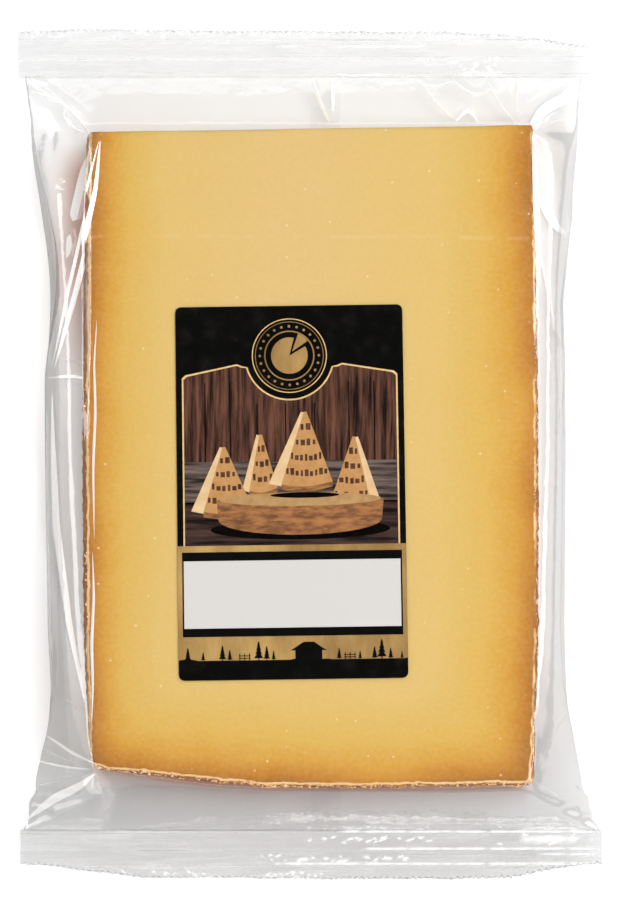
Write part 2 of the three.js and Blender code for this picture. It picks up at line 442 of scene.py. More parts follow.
@dataclass(frozen=True)
class CheeseFinish:
    """Cut paste that darkens to amber under a brown, brushed rind."""

    depth: float = 51.2 * MM
    crystal_scale: float = 640.0
    wire_scale: float = 900.0
    knife_line_y: float = 54 * MM
    # colours from the rind to the middle of the paste
    paste: tuple[tuple[float, str], ...] = (
        (0.0, "A4660C"), (0.045, "BE7C12"), (0.11, "D19A2E"),
        (0.22, "D8AF4F"), (0.42, "DBBA6B"), (1.0, "DCBC77"),
    )
    crust: tuple[tuple[float, str], ...] = (
        (0.25, "74401C"), (0.38, "8E5529"), (0.5, "A86C39"), (0.64, "C8925C"), (0.78, "E8C498"),
    )

    def rind_distance(self) -> NodeTree:
        """Distance in metres to the nearest of the three rind sides.

        Returns:
            A group with the outputs Distance and Heel.
        """
        group, w, out = new_group("rind distance", ("Distance", "Heel"))
        place = w.place()
        x, y = w.axis(place, 0), w.axis(place, 1)
        from_middle = w.math("ABSOLUTE", w.math("SUBTRACT", y, 0.012))
        bulge = w.times(w.math("POWER", from_middle, 2.0), 0.35)
        side = w.math("SUBTRACT", w.math("SUBTRACT", 56.8 * MM, bulge), w.math("ABSOLUTE", x))
        heel = w.times(w.attribute("from_heel"), MM)
        side = w.times(side, w.span(x, -9 * MM, 9 * MM, (1.12, 0.88)))
        nearest = w.math("SMOOTH_MIN", side, w.times(heel, 0.95), 9 * MM)
        w.put(out.inputs["Distance"], nearest)
        w.put(out.inputs["Heel"], heel)
        return group

    def rim_line(self, w: Wiring, heel: Socket) -> Socket:
        """The pale line where the knife has broken the rind's edge, patchy at the right.

        Args:
            w: the material's wiring.
            heel: the distance to the heel's rind.

        Returns:
            The line's strength, from 0 to 1.
        """
        place = w.place()
        sway = w.centred(w.noise(place, 260, 4, 0.6), 0.7)
        inward = w.math("ADD", w.attribute("rim"), sway)
        line = w.span(w.math("ABSOLUTE", w.math("SUBTRACT", inward, 0.62)), 0.42, 0.18)
        patchy = w.span(w.noise(place, 75, 3), 0.44, 0.56)
        left = w.span(w.axis(place, 0), -20 * MM, -45 * MM, (0, 0.9))
        strength = w.math("MAXIMUM", w.math("MAXIMUM", patchy, left), w.span(heel, 6 * MM, 2 * MM))
        return w.times(w.times(line, strength), 0.92)

    def build(self) -> bpy.types.Material:
        """Makes the material.

        Returns:
            The material.
        """
        material, w, out = new_material("hard cheese")
        group = w.node("ShaderNodeGroup", node_tree=self.rind_distance())
        distance = group.outputs["Distance"]
        place = w.place()
        wander = w.centred(w.noise(place, 34, 3), 9 * MM)
        depth = w.math("DIVIDE", w.math("ADD", distance, wander), self.depth, clamp=True)
        paste = w.ramp(depth, self.paste)
        cloud = w.span(w.noise(place, 60, 5, 0.6), 0.3, 0.7)
        paste = w.mix(w.times(cloud, 0.10), paste, linear("D9AC68"))
        grain = w.span(w.noise(place, 900, 3, 0.6), 0.35, 0.65)
        paste = w.mix(w.times(grain, 0.07), paste, linear("F6D9A4"))

        cells = w.node("ShaderNodeTexVoronoi", {"Vector": place, "Scale": self.crystal_scale})
        one_each = w.node("ShaderNodeSeparateColor", {0: cells.outputs["Color"]}).outputs[0]
        pick = w.span(one_each, 0.955, 0.985)
        dot = w.span(cells.outputs["Distance"], 0.26, 0.10)
        crystal = w.times(pick, dot)
        paste = w.mix(w.times(crystal, 0.45), paste, linear("FBEFD2"))

        line_y = w.math("SUBTRACT", w.axis(place, 1), self.knife_line_y)
        sway = w.centred(w.noise(w.place((1, 0.1, 1)), 22, 2), 2.4 * MM)
        line = w.span(w.math("ABSOLUTE", w.math("ADD", line_y, sway)), 0.7 * MM, 0.2 * MM)
        patchy = w.span(w.noise(place, 120, 2), 0.4, 0.6)
        paste = w.mix(w.times(w.times(line, patchy), 0.14), paste, linear("F7DFB2"))

        crust = w.attribute("rind")
        colour = w.mix(crust, paste, w.ramp(w.noise(place, 240, 8, 0.66), self.crust))
        colour = w.mix(self.rim_line(w, group.outputs["Heel"]), colour, linear("F4CF9C"))

        wire = w.noise(w.place((0.06, 1.0, 1.0)), self.wire_scale, 3, 0.5)
        pits = w.noise(place, 1500, 4, 0.6)
        height = w.math("ADD", w.times(wire, 0.28), w.times(pits, 0.5))
        crumbly = w.times(crust, w.times(w.noise(place, 420, 8, 0.7), 4.0))
        height = w.math("ADD", height, crumbly)
        rough = w.span(crust, 0, 1, (0.46, 0.85))
        shader = w.node(
            "ShaderNodeBsdfPrincipled",
            {
                "Base Color": colour,
                "Roughness": rough,
                "Normal": w.bump(0.35, 0.12 * MM, height),
                "Subsurface Weight": 0.12,
                "Subsurface Radius": (1.0, 0.55, 0.22),
                "Subsurface Scale": 3 * MM,
                "Specular IOR Level": 0.35,
            },
        )
        w.put(out.inputs["Surface"], shader.outputs[0])
        return material


@dataclass(frozen=True)
class CrumbFinish:
    """Dry, pale crumbs of rind, a little darker here and there."""

    scale: float = 700.0
    colours: tuple[tuple[float, str], ...] = (
        (0.3, "B5773C"), (0.46, "DDA66B"), (0.6, "F3CFA0"), (0.75, "FBE6C8"),
    )

    def build(self) -> bpy.types.Material:
        """Makes the material.

        Returns:
            The material.
        """
        material, w, out = new_material("rind crumbs")
        place = w.place()
        colour = w.ramp(w.noise(place, self.scale, 2), self.colours)
        bump = w.bump(0.4, 0.1 * MM, w.noise(place, 2600, 3))
        shader = w.node("ShaderNodeBsdfPrincipled", {"Base Color": colour, "Roughness": 0.7, "Normal": bump})
        w.put(out.inputs["Surface"], shader.outputs[0])
        return material


@dataclass(frozen=True)
class FilmFinish:
    """Clear film: what isn't mirrored at its surface passes straight through."""

    name: str = "clear film"
    tint: str = "FCFCFC"
    roughness: float = 0.045
    mirror: float = 1.08
    most: float = 0.5
    ripple: float = 0.16
    # white diffuse share: real haze on the seals and the seam, a painted highlight on the pinches
    scatter_and_painted_highlight: float = 0.0
    streak: float = 0.0
    mark: str = ""
    # an attribute and a colour that tint the film: painted shade beside the cheese on the sleeve, a grey band
    # along the cut edge on the seals
    shade_and_edge_grey: str = ""
    shade_and_edge_grey_colour: str = "E8E8E8"
    # emitted light that paints a highlight; the film is no lamp
    glow: float = 0.0

    def scatter_and_glint_level(self, w: Wiring) -> Socket | float:
        """How white the film is: its haze and streaks, plus the painted highlights of its marked places.

        Args:
            w: the material's wiring.

        Returns:
            A number from 0 to 1, or the socket that gives it.
        """
        if not self.mark:
            return self.scatter_and_painted_highlight
        streaks = w.span(w.noise(w.place((0.05, 1, 1)), 1300, 3, 0.6), 0.42, 0.62)
        patches = w.span(w.noise(w.place((0.5, 1, 1)), 110, 3, 0.6), 0.35, 0.65)
        level = w.times(w.times(streaks, patches), self.streak)
        level = w.math("ADD", w.times(w.attribute(self.mark), 0.85), level)
        return w.math("ADD", level, self.scatter_and_painted_highlight, clamp=True)

    def build(self) -> bpy.types.Material:
        """Makes the material.

        Returns:
            The material.
        """
        material, w, out = new_material(self.name)
        place = w.place()
        soft = w.noise(place, 90, 3, 0.5)
        fine = w.noise(place, 420, 3, 0.55)
        height = w.math("ADD", soft, w.times(fine, 0.22))
        bump = w.bump(self.ripple, 1.6 * MM, height)
        fresnel = w.node("ShaderNodeFresnel", {"IOR": 1.5, "Normal": bump}).outputs[0]
        share = w.math("MINIMUM", w.times(fresnel, self.mirror), self.most)
        tint = linear(self.tint)
        # The marked places take a darker tint and mirror less: painted shade on the sleeve, a grey band along
        # the cut edge on the seals.
        if self.shade_and_edge_grey:
            shade_and_edge_grey = w.attribute(self.shade_and_edge_grey)
            tint = w.mix(shade_and_edge_grey, tint, linear(self.shade_and_edge_grey_colour))
            share = w.times(share, w.math("SUBTRACT", 1.0, w.times(shade_and_edge_grey, 0.6)))
        clear = w.node("ShaderNodeBsdfTransparent", {"Color": tint})
        mirror = {"Color": (1, 1, 1, 1), "Roughness": self.roughness, "Normal": bump}
        gloss = w.node("ShaderNodeBsdfGlossy", mirror)
        surface = w.node("ShaderNodeMixShader", {0: share, 1: clear.outputs[0], 2: gloss.outputs[0]})
        # A white diffuse share: real haze on the seals and the seam, a painted highlight on the pinches.
        if self.scatter_and_painted_highlight:
            scatter_and_highlight_shader = w.node("ShaderNodeBsdfDiffuse", {"Color": linear("FFFFFF")})
            # An emitted glow, a painted highlight: the film is no lamp.
            if self.glow:
                painted_glow = w.node("ShaderNodeEmission", {"Color": (1, 1, 1, 1), "Strength": self.glow})
                scatter_and_highlight_shader = w.node("ShaderNodeAddShader", {0: scatter_and_highlight_shader.outputs[0], 1: painted_glow.outputs[0]})
            level = self.scatter_and_glint_level(w)
            surface = w.node("ShaderNodeMixShader", {0: level, 1: surface.outputs[0], 2: scatter_and_highlight_shader.outputs[0]})
        w.put(out.inputs["Surface"], surface.outputs[0])
        return material


# ------------------------------------------------------------------ the cheese


@dataclass
class Cheese:
    """The radial wedge, with its crumbly rind edges."""

    voxel: float = 0.85 * MM
    rind_depth: float = 2.6
    rind_bite: float = 0.9
    face_wave: float = 0.05
    seed: int = 11

    def shape(self) -> bpy.types.Object:
        """Copies the frame's wedge, remeshes it finely and roughens its rind.

        Returns:
            The shaped piece.
        """
        source = bpy.data.objects["cheese"]
        piece = source.copy()
        piece.data = source.data.copy()
        piece.name = "cheese_wedge"
        piece.parent = None
        for key in [k for k in piece.keys() if k.startswith("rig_")]:
            del piece[key]
        bpy.context.scene.collection.objects.link(piece)
        piece.data.materials.clear()
        take(piece)
        bpy.ops.object.mode_set(mode="EDIT")
        bpy.ops.mesh.select_all(action="SELECT")
        bpy.ops.mesh.remove_doubles(threshold=0.01 * MM)
        bpy.ops.object.mode_set(mode="OBJECT")
        apply_modifier(piece, "REMESH", mode="VOXEL", voxel_size=self.voxel)
        self.roughen(piece)
        take(piece)
        bpy.ops.object.shade_smooth()
        return piece

    @staticmethod
    def heel_line(co: np.ndarray) -> tuple[np.ndarray, np.ndarray]:
        """Where the heel's upper edge lies.

        Args:
            co: the wedge's points, in millimetres.

        Returns:
            Places across the wedge, and the edge's Y at each.
        """
        high = co[co[:, 2] > WEDGE.top(co[:, 1]) - 1.0]
        across = np.arange(-54.0, 55.0, 2.0)
        return across, np.array([high[np.abs(high[:, 0] - x) < 1.2][:, 1].min() for x in across])

    def roughen(self, piece: bpy.types.Object) -> None:
        """Gives the rind its uneven surface and the cut faces their slight waves.

        Args:
            piece: the remeshed wedge; it also gets the attributes that mark its rind and its rim.
        """
        co = points_of(piece.data)
        x, y, z = co.T.astype(float)
        side = WEDGE.half(y) - np.abs(x)
        heel = y - np.interp(x, *self.heel_line(co))
        edge = np.minimum(side, heel)
        moved = co.astype(float).copy()
        marks = np.zeros(len(co))
        low = WEDGE.lift + 0.6
        for i in range(len(co)):
            if edge[i] < self.rind_depth:
                spot = Vector(co[i])
                bite = noise.fractal(spot * 0.32, 0.7, 2.2, 4)
                crumb = noise.fractal(spot * 1.1 + Vector((40, 0, 0)), 0.8, 2.0, 3)
                near = min(1.0, max(0.0, 1 - edge[i] / self.rind_depth))
                push = self.rind_bite * near * (0.5 * bite + 0.3 * crumb - 0.12)
                if side[i] < heel[i] + 0.5:
                    moved[i, 0] += math.copysign(1, x[i]) * push
                else:
                    moved[i, 1] -= push
                if z[i] > WEDGE.top(y[i]) - 1.2 or z[i] < low:
                    moved[i, 2] -= max(0.0, near - 0.25) * 0.5 * (0.5 + crumb) * (1 if z[i] > low else -0.2)
                marks[i] = min(1.0, max(0.0, (0.3 - edge[i] + 0.45 * bite + 0.4 * crumb) / 0.5))
            elif z[i] > WEDGE.top(y[i]) - 0.8:
                wave = noise.noise(Vector((x[i] * 0.02, y[i] * 0.35, 1.0)))
                moved[i, 2] += self.face_wave * wave
        left = np.clip(1 - (x + WEDGE.half(y)) / 3, 0, 1)
        moved[:, 0] -= left * WEDGE.belly(y, z)
        moved[:, 2] = np.maximum(moved[:, 2], WEDGE.lift - 0.15)
        move_points(piece.data, moved)
        for label, values in (("rind", marks), ("rim", np.clip(edge, -2, 6)), ("from_heel", heel)):
            mark(piece.data, label, values)

    def rims(self, piece: bpy.types.Object) -> list[np.ndarray]:
        """The upper edges of the left, the right and the heel's rind.

        Args:
            piece: the roughened wedge.

        Returns:
            Points along each edge, in millimetres.
        """
        co = points_of(piece.data)
        high = co[co[:, 2] > WEDGE.top(co[:, 1]) - 1.0]
        sides = []
        for way in (-1, 1):
            near = [high[np.abs(high[:, 1] - y) < 0.6] for y in np.arange(-83, 81, 0.26)]
            sides.append(np.array([band[(band[:, 0] * way).argmax()] for band in near if len(band)]))
        near = [high[np.abs(high[:, 0] - x) < 0.6] for x in np.arange(-54.5, 55.5, 0.24)]
        sides.append(np.array([band[band[:, 1].argmin()] for band in near if len(band)]))
        return sides

    def crumb(self, material: bpy.types.Material) -> bpy.types.Object:
        """Models one crumb of rind, a unit across.

        Args:
            material: its material.

        Returns:
            The crumb.
        """
        deselect()
        bpy.ops.mesh.primitive_ico_sphere_add(subdivisions=1, radius=1)
        made = bpy.context.active_object
        bpy.ops.object.mode_set(mode="EDIT")
        bpy.ops.mesh.select_all(action="SELECT")
        bpy.ops.transform.vertex_random(offset=0.35, seed=self.seed)
        bpy.ops.transform.resize(value=(1, 0.8, 0.6))
        bpy.ops.object.mode_set(mode="OBJECT")
        made.data.materials.append(material)
        return made

    def crumbs(self, piece: bpy.types.Object) -> list[bpy.types.Object]:
        """Copies the crumb along the rind's upper edges.

        Args:
            piece: the roughened wedge.

        Returns:
            The crumbs.
        """
        rng = np.random.default_rng(self.seed)
        model = self.crumb(CrumbFinish().build())
        made = []
        insets = ((0.1, 0), (-0.2, 0), (0, -0.05))
        for line, share, inset in zip(self.rims(piece), (0.25, 0.5, 1.15), insets):
            for spot in line:
                clump = 0.5 + noise.noise(Vector(spot * 0.16)) * 0.9
                if rng.uniform() > share * (0.55 + clump * 0.7):
                    continue
                size = rng.uniform(0.08, 0.21) * (0.7 + 0.6 * clump)
                shift = (inset[0] + rng.normal(0, 0.15), inset[1] + rng.normal(0, 0.15), 0)
                place = Vector(spot) + Vector(shift)
                place.z = WEDGE.top(place.y) - 0.12 + rng.uniform(-0.12, 0.1)
                way = 0 if inset[1] else math.pi / 2
                turn = Matrix.Rotation(way + rng.normal(0, 0.3), 4, "Z")
                shape = turn @ Matrix.Diagonal((size * rng.uniform(1.2, 3.4), size, size, 1))
                data = model.data.copy()
                data.transform(Matrix.Scale(MM, 4) @ Matrix.Translation(place) @ shape)
                copy = bpy.data.objects.new("crumb", data)
                bpy.context.scene.collection.objects.link(copy)
                made.append(copy)
        bpy.data.objects.remove(model)
        return made

    def build(self) -> list[bpy.types.Object]:
        """Makes and dresses the cheese.

        Returns:
            Its one piece.
        """
        piece = self.shape()
        piece.data.materials.append(CheeseFinish().build())
        piece = join([piece, *self.crumbs(piece)], "cheese_wedge")
        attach(piece, BODY)
        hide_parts("cheese")
        return [piece]


# ------------------------------------------------------------------ the film


@dataclass(frozen=True)
class Crease:
    """A fold that handling has left in the film, along a line seen from above.

    A height below zero makes a valley. Its flanks are flat, so that they catch the light as one.

    All its sizes are in millimetres.
    """

    points: tuple[tuple[float, float], ...]
    height: float = 0.8
    width: float = 2.2
    fade: float = 4.0
    tuck: float = 0.0
    # True picks the pinch finish with the stronger painted highlight and glow
    white: bool = False

    def press(self, mesh: bpy.types.Mesh) -> None:
        """Raises the ridge on the film's upper side.

        Args:
            mesh: the film's mesh, changed in place.
        """
        co, normal = points_of(mesh), normals_of(mesh)
        best = np.full(len(co), np.inf)
        along = np.zeros(len(co))
        length = 0.0
        for a, b in zip(self.points, self.points[1:]):
            start, step = np.array(a), np.array(b) - np.array(a)
            size = float(np.linalg.norm(step))
            t = np.clip(((co[:, :2] - start) @ step) / size**2, 0, 1)
            gap = np.linalg.norm(co[:, :2] - start - t[:, None] * step, axis=1)
            nearer = gap < best
            best = np.where(nearer, gap, best)
            along = np.where(nearer, length + t * size, along)
            length += size
        ends = np.clip(np.minimum(along, length - along) / self.fade, 0, 1)
        ridge = self.height * np.clip(1 - best / self.width, 0, 1) * ends
        up = np.clip(normal[:, 2] * 3 + 0.6, 0, 1)
        co += normal * (ridge * up)[:, None]
        move_points(mesh, co)

    def pinch(self, mesh: bpy.types.Mesh) -> bpy.types.Object:
        """Makes the narrow pinch of film that stands up along the fold.

        Args:
            mesh: the film's mesh, already pressed.

        Returns:
            The pinch, whose half width is the crease's tuck.
        """
        film = points_of(mesh)[normals_of(mesh)[:, 2] > 0.05]
        corners = np.array(self.points)
        far = np.concatenate([[0], np.cumsum(np.linalg.norm(np.diff(corners, axis=0), axis=1))])
        at = np.arange(0, far[-1], 0.7)
        line = np.stack([np.interp(at, far, corners[:, axis]) for axis in (0, 1)], axis=1)
        for _ in range(6):
            line[1:-1] = (line[:-2] + line[2:]) / 2
        way = np.gradient(line, axis=0)
        way /= np.linalg.norm(way, axis=1, keepdims=True)
        side = np.stack([-way[:, 1], way[:, 0]], axis=1)
        thin = np.sin(math.pi * (np.arange(len(at)) + 0.5) / len(at)) ** 0.7
        offsets = np.linspace(-1, 1, 9)
        rise = 0.03 + 0.46 * np.cos(offsets * math.pi / 2) ** 1.3
        grid = np.zeros((len(at), len(offsets), 3))
        apart = [((film[:, :2] - spot) ** 2).sum(1) for spot in line]
        lowest = np.array([film[gap <= max(0.8, gap.min()), 2].max() for gap in apart])
        beside = np.abs(line[:, 0]) < WEDGE.half(line[:, 1]) + 0.2 + self.tuck * thin
        beside &= (line[:, 1] < WEDGE.tip) & (line[:, 1] > WEDGE.heel)
        lowest = np.where(beside, np.maximum(lowest, WEDGE.top(line[:, 1]) + 0.4), lowest)
        base = np.convolve(np.pad(lowest, 2, mode="edge"), np.ones(5) / 5, mode="valid")
        for column, (offset, high) in enumerate(zip(offsets, rise)):
            spots = line + side * (offset * self.tuck * thin)[:, None]
            grid[:, column, :2] = spots
            floor = WEDGE.top(spots[:, 1]) + 0.4
            over = (np.abs(spots[:, 0]) < WEDGE.half(spots[:, 1]) + 0.2) & (spots[:, 1] < WEDGE.tip)
            level = np.where(over & (spots[:, 1] > WEDGE.heel), np.maximum(base, floor), base)
            grid[:, column, 2] = level + 0.06 + high * self.tuck * thin
        return from_grid("pinch", grid * MM, closed=False)


CREASES = (
    # the left side
    Crease(
        ((-53.7, 78.2), (-56.4, 67.3), (-59.0, 56.0), (-62.4, 41.0), (-66.2, 21.0)),
        0.15, 2.0, 9.0, 0.45, True,
    ),
    Crease(
        ((-53.3, 78.4), (-54.4, 66.0), (-56.9, 55.0), (-60.4, 41.0), (-65.8, 20.6)),
        0.1, 2.0, 9.0, 0.75, True,
    ),
    Crease(((-56.4, 80.0), (-61.2, 60.0), (-64.6, 40.0)), -0.6, 2.0, 9.0),
    Crease(((-56.4, 18.4), (-61.0, 19.6), (-67.0, 18.8)), 0.8, 2.0, 4.0, 0.4, True),
    Crease(((-57.0, 21.8), (-61.0, 23.6), (-64.6, 24.2)), 0.5, 1.6, 4.0, 0.22),
    Crease(((-57.6, 53.0), (-61.0, 57.0), (-66.0, 61.0)), 0.7, 2.6, 4.0, 0.0),
    Crease(
        ((-66.0, 15.0), (-65.6, -2.0), (-64.8, -20.0), (-61.8, -44.0), (-57.9, -64.5)),
        0.5, 2.2, 10.0, 0.95, True,
    ),
    Crease(((-61.4, 12.0), (-61.2, -14.0), (-59.4, -38.0)), -0.7, 1.8, 9.0),
    Crease(((-67.0, -10.0), (-66.4, -30.0), (-65.6, -62.0)), 0.5, 1.6, 9.0, 0.3),
    Crease(((-53.9, 33.0), (-54.5, 22.0), (-54.1, 10.0), (-54.6, -4.0), (-54.2, -22.0)), 0.1, 1.2, 7.0, 0.34),
    Crease(
        ((-54.6, -25.0), (-54.2, -36.0), (-54.7, -48.0), (-54.3, -58.0), (-54.6, -68.0)),
        0.1, 1.2, 7.0, 0.38,
    ),
    Crease(((-64.6, -62.0), (-61.2, -64.4), (-58.2, -65.4)), 0.5, 1.4, 2.0, 0.22),
    # its corner at the heel
    Crease(((-55.6, -79.5), (-61.5, -76.2), (-67.6, -71.2)), 0.9, 2.2, 4.0, 0.4, True),
    Crease(((-56.0, -80.2), (-62.4, -78.4), (-69.0, -74.2)), 0.6, 1.4, 4.0, 0.26),
    Crease(((-56.4, -81.0), (-63.0, -79.9), (-69.9, -77.6)), 0.8, 1.6, 4.0, 0.3, True),
    Crease(((-56.4, -82.0), (-64.0, -83.2), (-71.2, -84.6)), 0.7, 1.6, 4.0, 0.22),
    Crease(((-55.4, -82.2), (-58.8, -85.0), (-65.2, -87.6), (-71.6, -92.6)), 1.1, 2.6, 3.0, 1.1, True),
    Crease(((-72.6, -92.6), (-71.6, -95.0)), 0.4, 1.2, 2.0, 0.6, True),
    # the tip's left corner
    Crease(((-56.8, 81.6), (-60.2, 86.4), (-66.0, 90.6), (-72.0, 91.8)), 0.9, 2.2, 4.0, 0.42),
    Crease(((-57.6, 81.6), (-61.6, 83.0), (-64.2, 86.6), (-62.2, 88.4), (-58.6, 84.6)), 0.5, 1.4, 2.0, 0.32),
    Crease(((-71.0, 94.4), (-68.6, 93.2), (-66.6, 93.8)), 0.5, 1.4, 1.5, 0.55, True),
    Crease(((-71.6, 88.0), (-69.4, 74.0), (-66.4, 62.0)), 0.4, 1.4, 6.0, 0.26),
    # the tip's edge
    Crease(((0.4, 94.8), (1.8, 90.0), (4.6, 84.0)), 0.4, 1.6, 3.0, 0.5),
    Crease(((5.2, 94.8), (5.6, 90.0), (5.4, 87.0)), 0.3, 1.2, 2.0, 0.4, True),
    Crease(((26.0, 95.0), (30.2, 92.6), (36.8, 94.6)), 0.3, 1.4, 2.5, 0.34),
    Crease(((28.6, 93.0), (33.4, 87.6), (37.4, 84.4)), 0.4, 1.8, 3.0, 0.26),
    Crease(((35.4, 94.8), (41.5, 90.6), (46.0, 92.4)), 0.4, 1.5, 2.5, 0.38),
    Crease(((37.0, 84.6), (40.2, 88.2), (42.6, 84.2)), 0.5, 1.6, 2.0, 0.42, True),
    Crease(((44.6, 95.0), (48.2, 88.4), (52.4, 84.0)), 0.4, 1.6, 3.0, 0.24),
    Crease(((52.4, 95.0), (52.0, 87.0), (53.6, 83.0)), 0.5, 1.4, 4.0, 0.22),
    # the right side
    Crease(((56.0, 83.8), (59.2, 87.6), (64.0, 89.8), (69.0, 91.0)), 0.9, 3.0, 3.0, 1.3, True),
    Crease(((56.6, 82.2), (61.4, 84.6), (67.6, 85.0)), 0.5, 1.8, 3.0, 0.3),
    Crease(((55.9, 80.6), (56.6, 60.0), (57.5, 38.0)), 0.3, 1.8, 6.0, 0.75, True),
    Crease(((58.0, 66.0), (61.0, 59.6), (65.2, 54.4)), 0.7, 2.6, 4.0, 1.0, True),
    Crease(((60.6, 78.0), (63.0, 66.0), (66.0, 57.0)), -0.8, 2.4, 6.0),
    Crease(((58.4, 50.0), (61.0, 38.0), (63.2, 24.0), (62.6, 4.0)), 0.7, 2.4, 9.0, 0.5),
    Crease(((57.9, 36.0), (58.3, 0.0), (58.0, -60.0)), 0.2, 1.2, 14.0, 0.34),
    # its corner at the heel
    Crease(((55.2, -80.0), (60.2, -74.0), (64.6, -66.0)), 0.7, 2.2, 4.0, 0.24),
    Crease(((55.8, -83.2), (63.0, -87.6), (71.0, -93.2)), 0.8, 2.4, 4.0, 0.2),
)


@dataclass
class FilmTube:
    """The sleeve of film: a grid of points that a small cloth solver settles round the cheese.

    Rows run across the pack, from the heel's end to the tip's, and columns go round it from the
    seam. All sizes are in millimetres.
    """

    rows: int = 120
    cols: int = 180
    sleeve_end: float = 95.6
    lay_flat: float = 147.0
    web_length: float = 200.0
    heel_end: float = 83.8
    tip_end: float = 82.6
    steps: int = 260
    inner: int = 4
    air: float = 0.006
    cling: float = 0.03
    guide: float = 0.25
    seed: int = 7
    right_y: tuple[float, ...] = (-96, -88, -80, -70, -60, -45, -20, 20, 38, 50, 60, 75, 96)
    right_x: tuple[float, ...] = (
        73.3, 71.3, 68.2, 66.0, 64.0, 62.8, 63.2, 63.7, 63.2, 64.5, 66.5, 67.4, 69.5,
    )
    left_y: tuple[float, ...] = (-96, -88, -80, -70, -60, -45, -20, 20, 33, 43, 53, 68, 80, 96)
    left_x: tuple[float, ...] = (
        73.3, 72.8, 70.0, 66.9, 66.1, 66.8, 67.2, 67.6, 65.2, 63.6, 64.6, 68.8, 71.2, 73.8,
    )
    grid: np.ndarray = field(init=False, repr=False)
    along: np.ndarray = field(init=False, repr=False)

    def outline(self, y: float) -> np.ndarray:
        """The section across the pack before it settles.

        Args:
            y: where the section is.

        Returns:
            The corners as (x, z), from the seam round to the seam.
        """
        seal, end = (HEEL_SEAL_Z, self.heel_end) if y < 0 else (TIP_SEAL_Z, self.tip_end)
        share = min(max((abs(y) - end) / (self.sleeve_end - end), 0.0), 1.0)
        held = min(max(y, -self.heel_end), self.tip_end)
        top = (1 - share) * (WEDGE.top(held) + 0.35) + share * (seal + 0.1)
        bottom = (1 - share) * 0.25 + share * (seal - 0.1)
        half = WEDGE.half(held) + 0.5
        right = float(np.interp(y, self.right_y, self.right_x))
        left = float(np.interp(y, self.left_y, self.left_x))
        right_top = (1 - share) * half + share * (right - 1)
        left_top = (1 - share) * half + share * (left - 1)
        fold = (top + bottom) / 2
        return np.array(
            [
                (SEAM_X, bottom),
                (right_top, bottom),
                (right, fold),
                (right_top, top),
                (-left_top, top),
                (-left, fold),
                (-left_top, bottom),
                (SEAM_X, bottom),
            ]
        )

    def start(self) -> np.ndarray:
        """The sleeve before it settles.

        Returns:
            Its points by row and column.
        """
        grid = np.zeros((self.rows, self.cols, 3))
        for r, y in enumerate(np.linspace(-self.sleeve_end, self.sleeve_end, self.rows)):
            corners = self.outline(float(y))
            arc = np.concatenate([[0], np.cumsum(np.linalg.norm(np.diff(corners, axis=0), axis=1))])
            want = np.arange(self.cols) / self.cols * arc[-1]
            grid[r, :, 0] = np.interp(want, arc, corners[:, 0])
            grid[r, :, 1] = y
            grid[r, :, 2] = np.interp(want, arc, corners[:, 1])
        x, y, z = grid[..., 0], grid[..., 1], grid[..., 2]
        edge = WEDGE.heel_edge(x) - 0.6
        fall = np.clip((edge - y) / (edge + self.sleeve_end), 0, 1)
        ramp = (1 - fall) * (WEDGE.top(edge) + 0.35) + fall * (HEEL_SEAL_Z + 0.1)
        upper = (y < edge) & (z > HEEL_SEAL_Z + 1) & (np.abs(x) < WEDGE.half(y))
        grid[..., 2] = np.where(upper, np.minimum(z, ramp), z)
        return grid

    def keep_out(self, p: np.ndarray) -> None:
        """Moves points out of the cheese and up off the table.

        Args:
            p: the points, changed in place.
        """
        x, y, z = p[..., 0], p[..., 1], p[..., 2]
        turn = math.radians(WEDGE.slope_deg)
        half = WEDGE.half(y) + 0.35
        depth = np.stack(
            [
                (z - WEDGE.top(y)) * math.cos(turn) - 0.32,
                x - half,
                -x - half - WEDGE.belly(y, z),
                WEDGE.heel_edge(x) - 0.45 - 0.049 * np.clip(30 - z, 0, 30) - y,
                y - WEDGE.tip + WEDGE.tip_slant * x - 0.4,
                0.35 - z,
            ]
        )
        normals = np.array(
            [[0, math.sin(turn), math.cos(turn)], [1, 0, 0], [-1, 0, 0], [0, -1, 0], [0, 1, 0], [0, 0, -1]]
        )
        nearest = depth.argmax(0)
        inside = np.minimum(depth.max(0), 0)
        p -= inside[..., None] * normals[nearest]
        np.maximum(p[..., 2], 0.06, out=p[..., 2])
        off_label = np.abs(p[..., 0] - LABEL_CENTRE[0]), np.abs(p[..., 1] - LABEL_CENTRE[1])
        under = (off_label[0] < 31) & (off_label[1] < 50) & (p[..., 2] > 6)
        p[..., 2] = np.where(under, np.minimum(p[..., 2], WEDGE.top(p[..., 1]) + 0.45), p[..., 2])

    @staticmethod
    def pull(a: np.ndarray, b: np.ndarray, rest: float | np.ndarray, weak: float) -> np.ndarray:
        """How far two sets of points move to be rest apart.

        Args:
            a: the first points.
            b: the second points.
            rest: the distance that the film keeps between them.
            weak: how well the film resists being pushed together, from 0 to 1.

        Returns:
            The move of a; b moves as far the other way.
        """
        gap = b - a
        length = np.sqrt((gap * gap).sum(-1)) + 1e-9
        over = (length - rest) / length
        return gap * (np.where(over < 0, over * weak, over) * 0.5)[..., None]

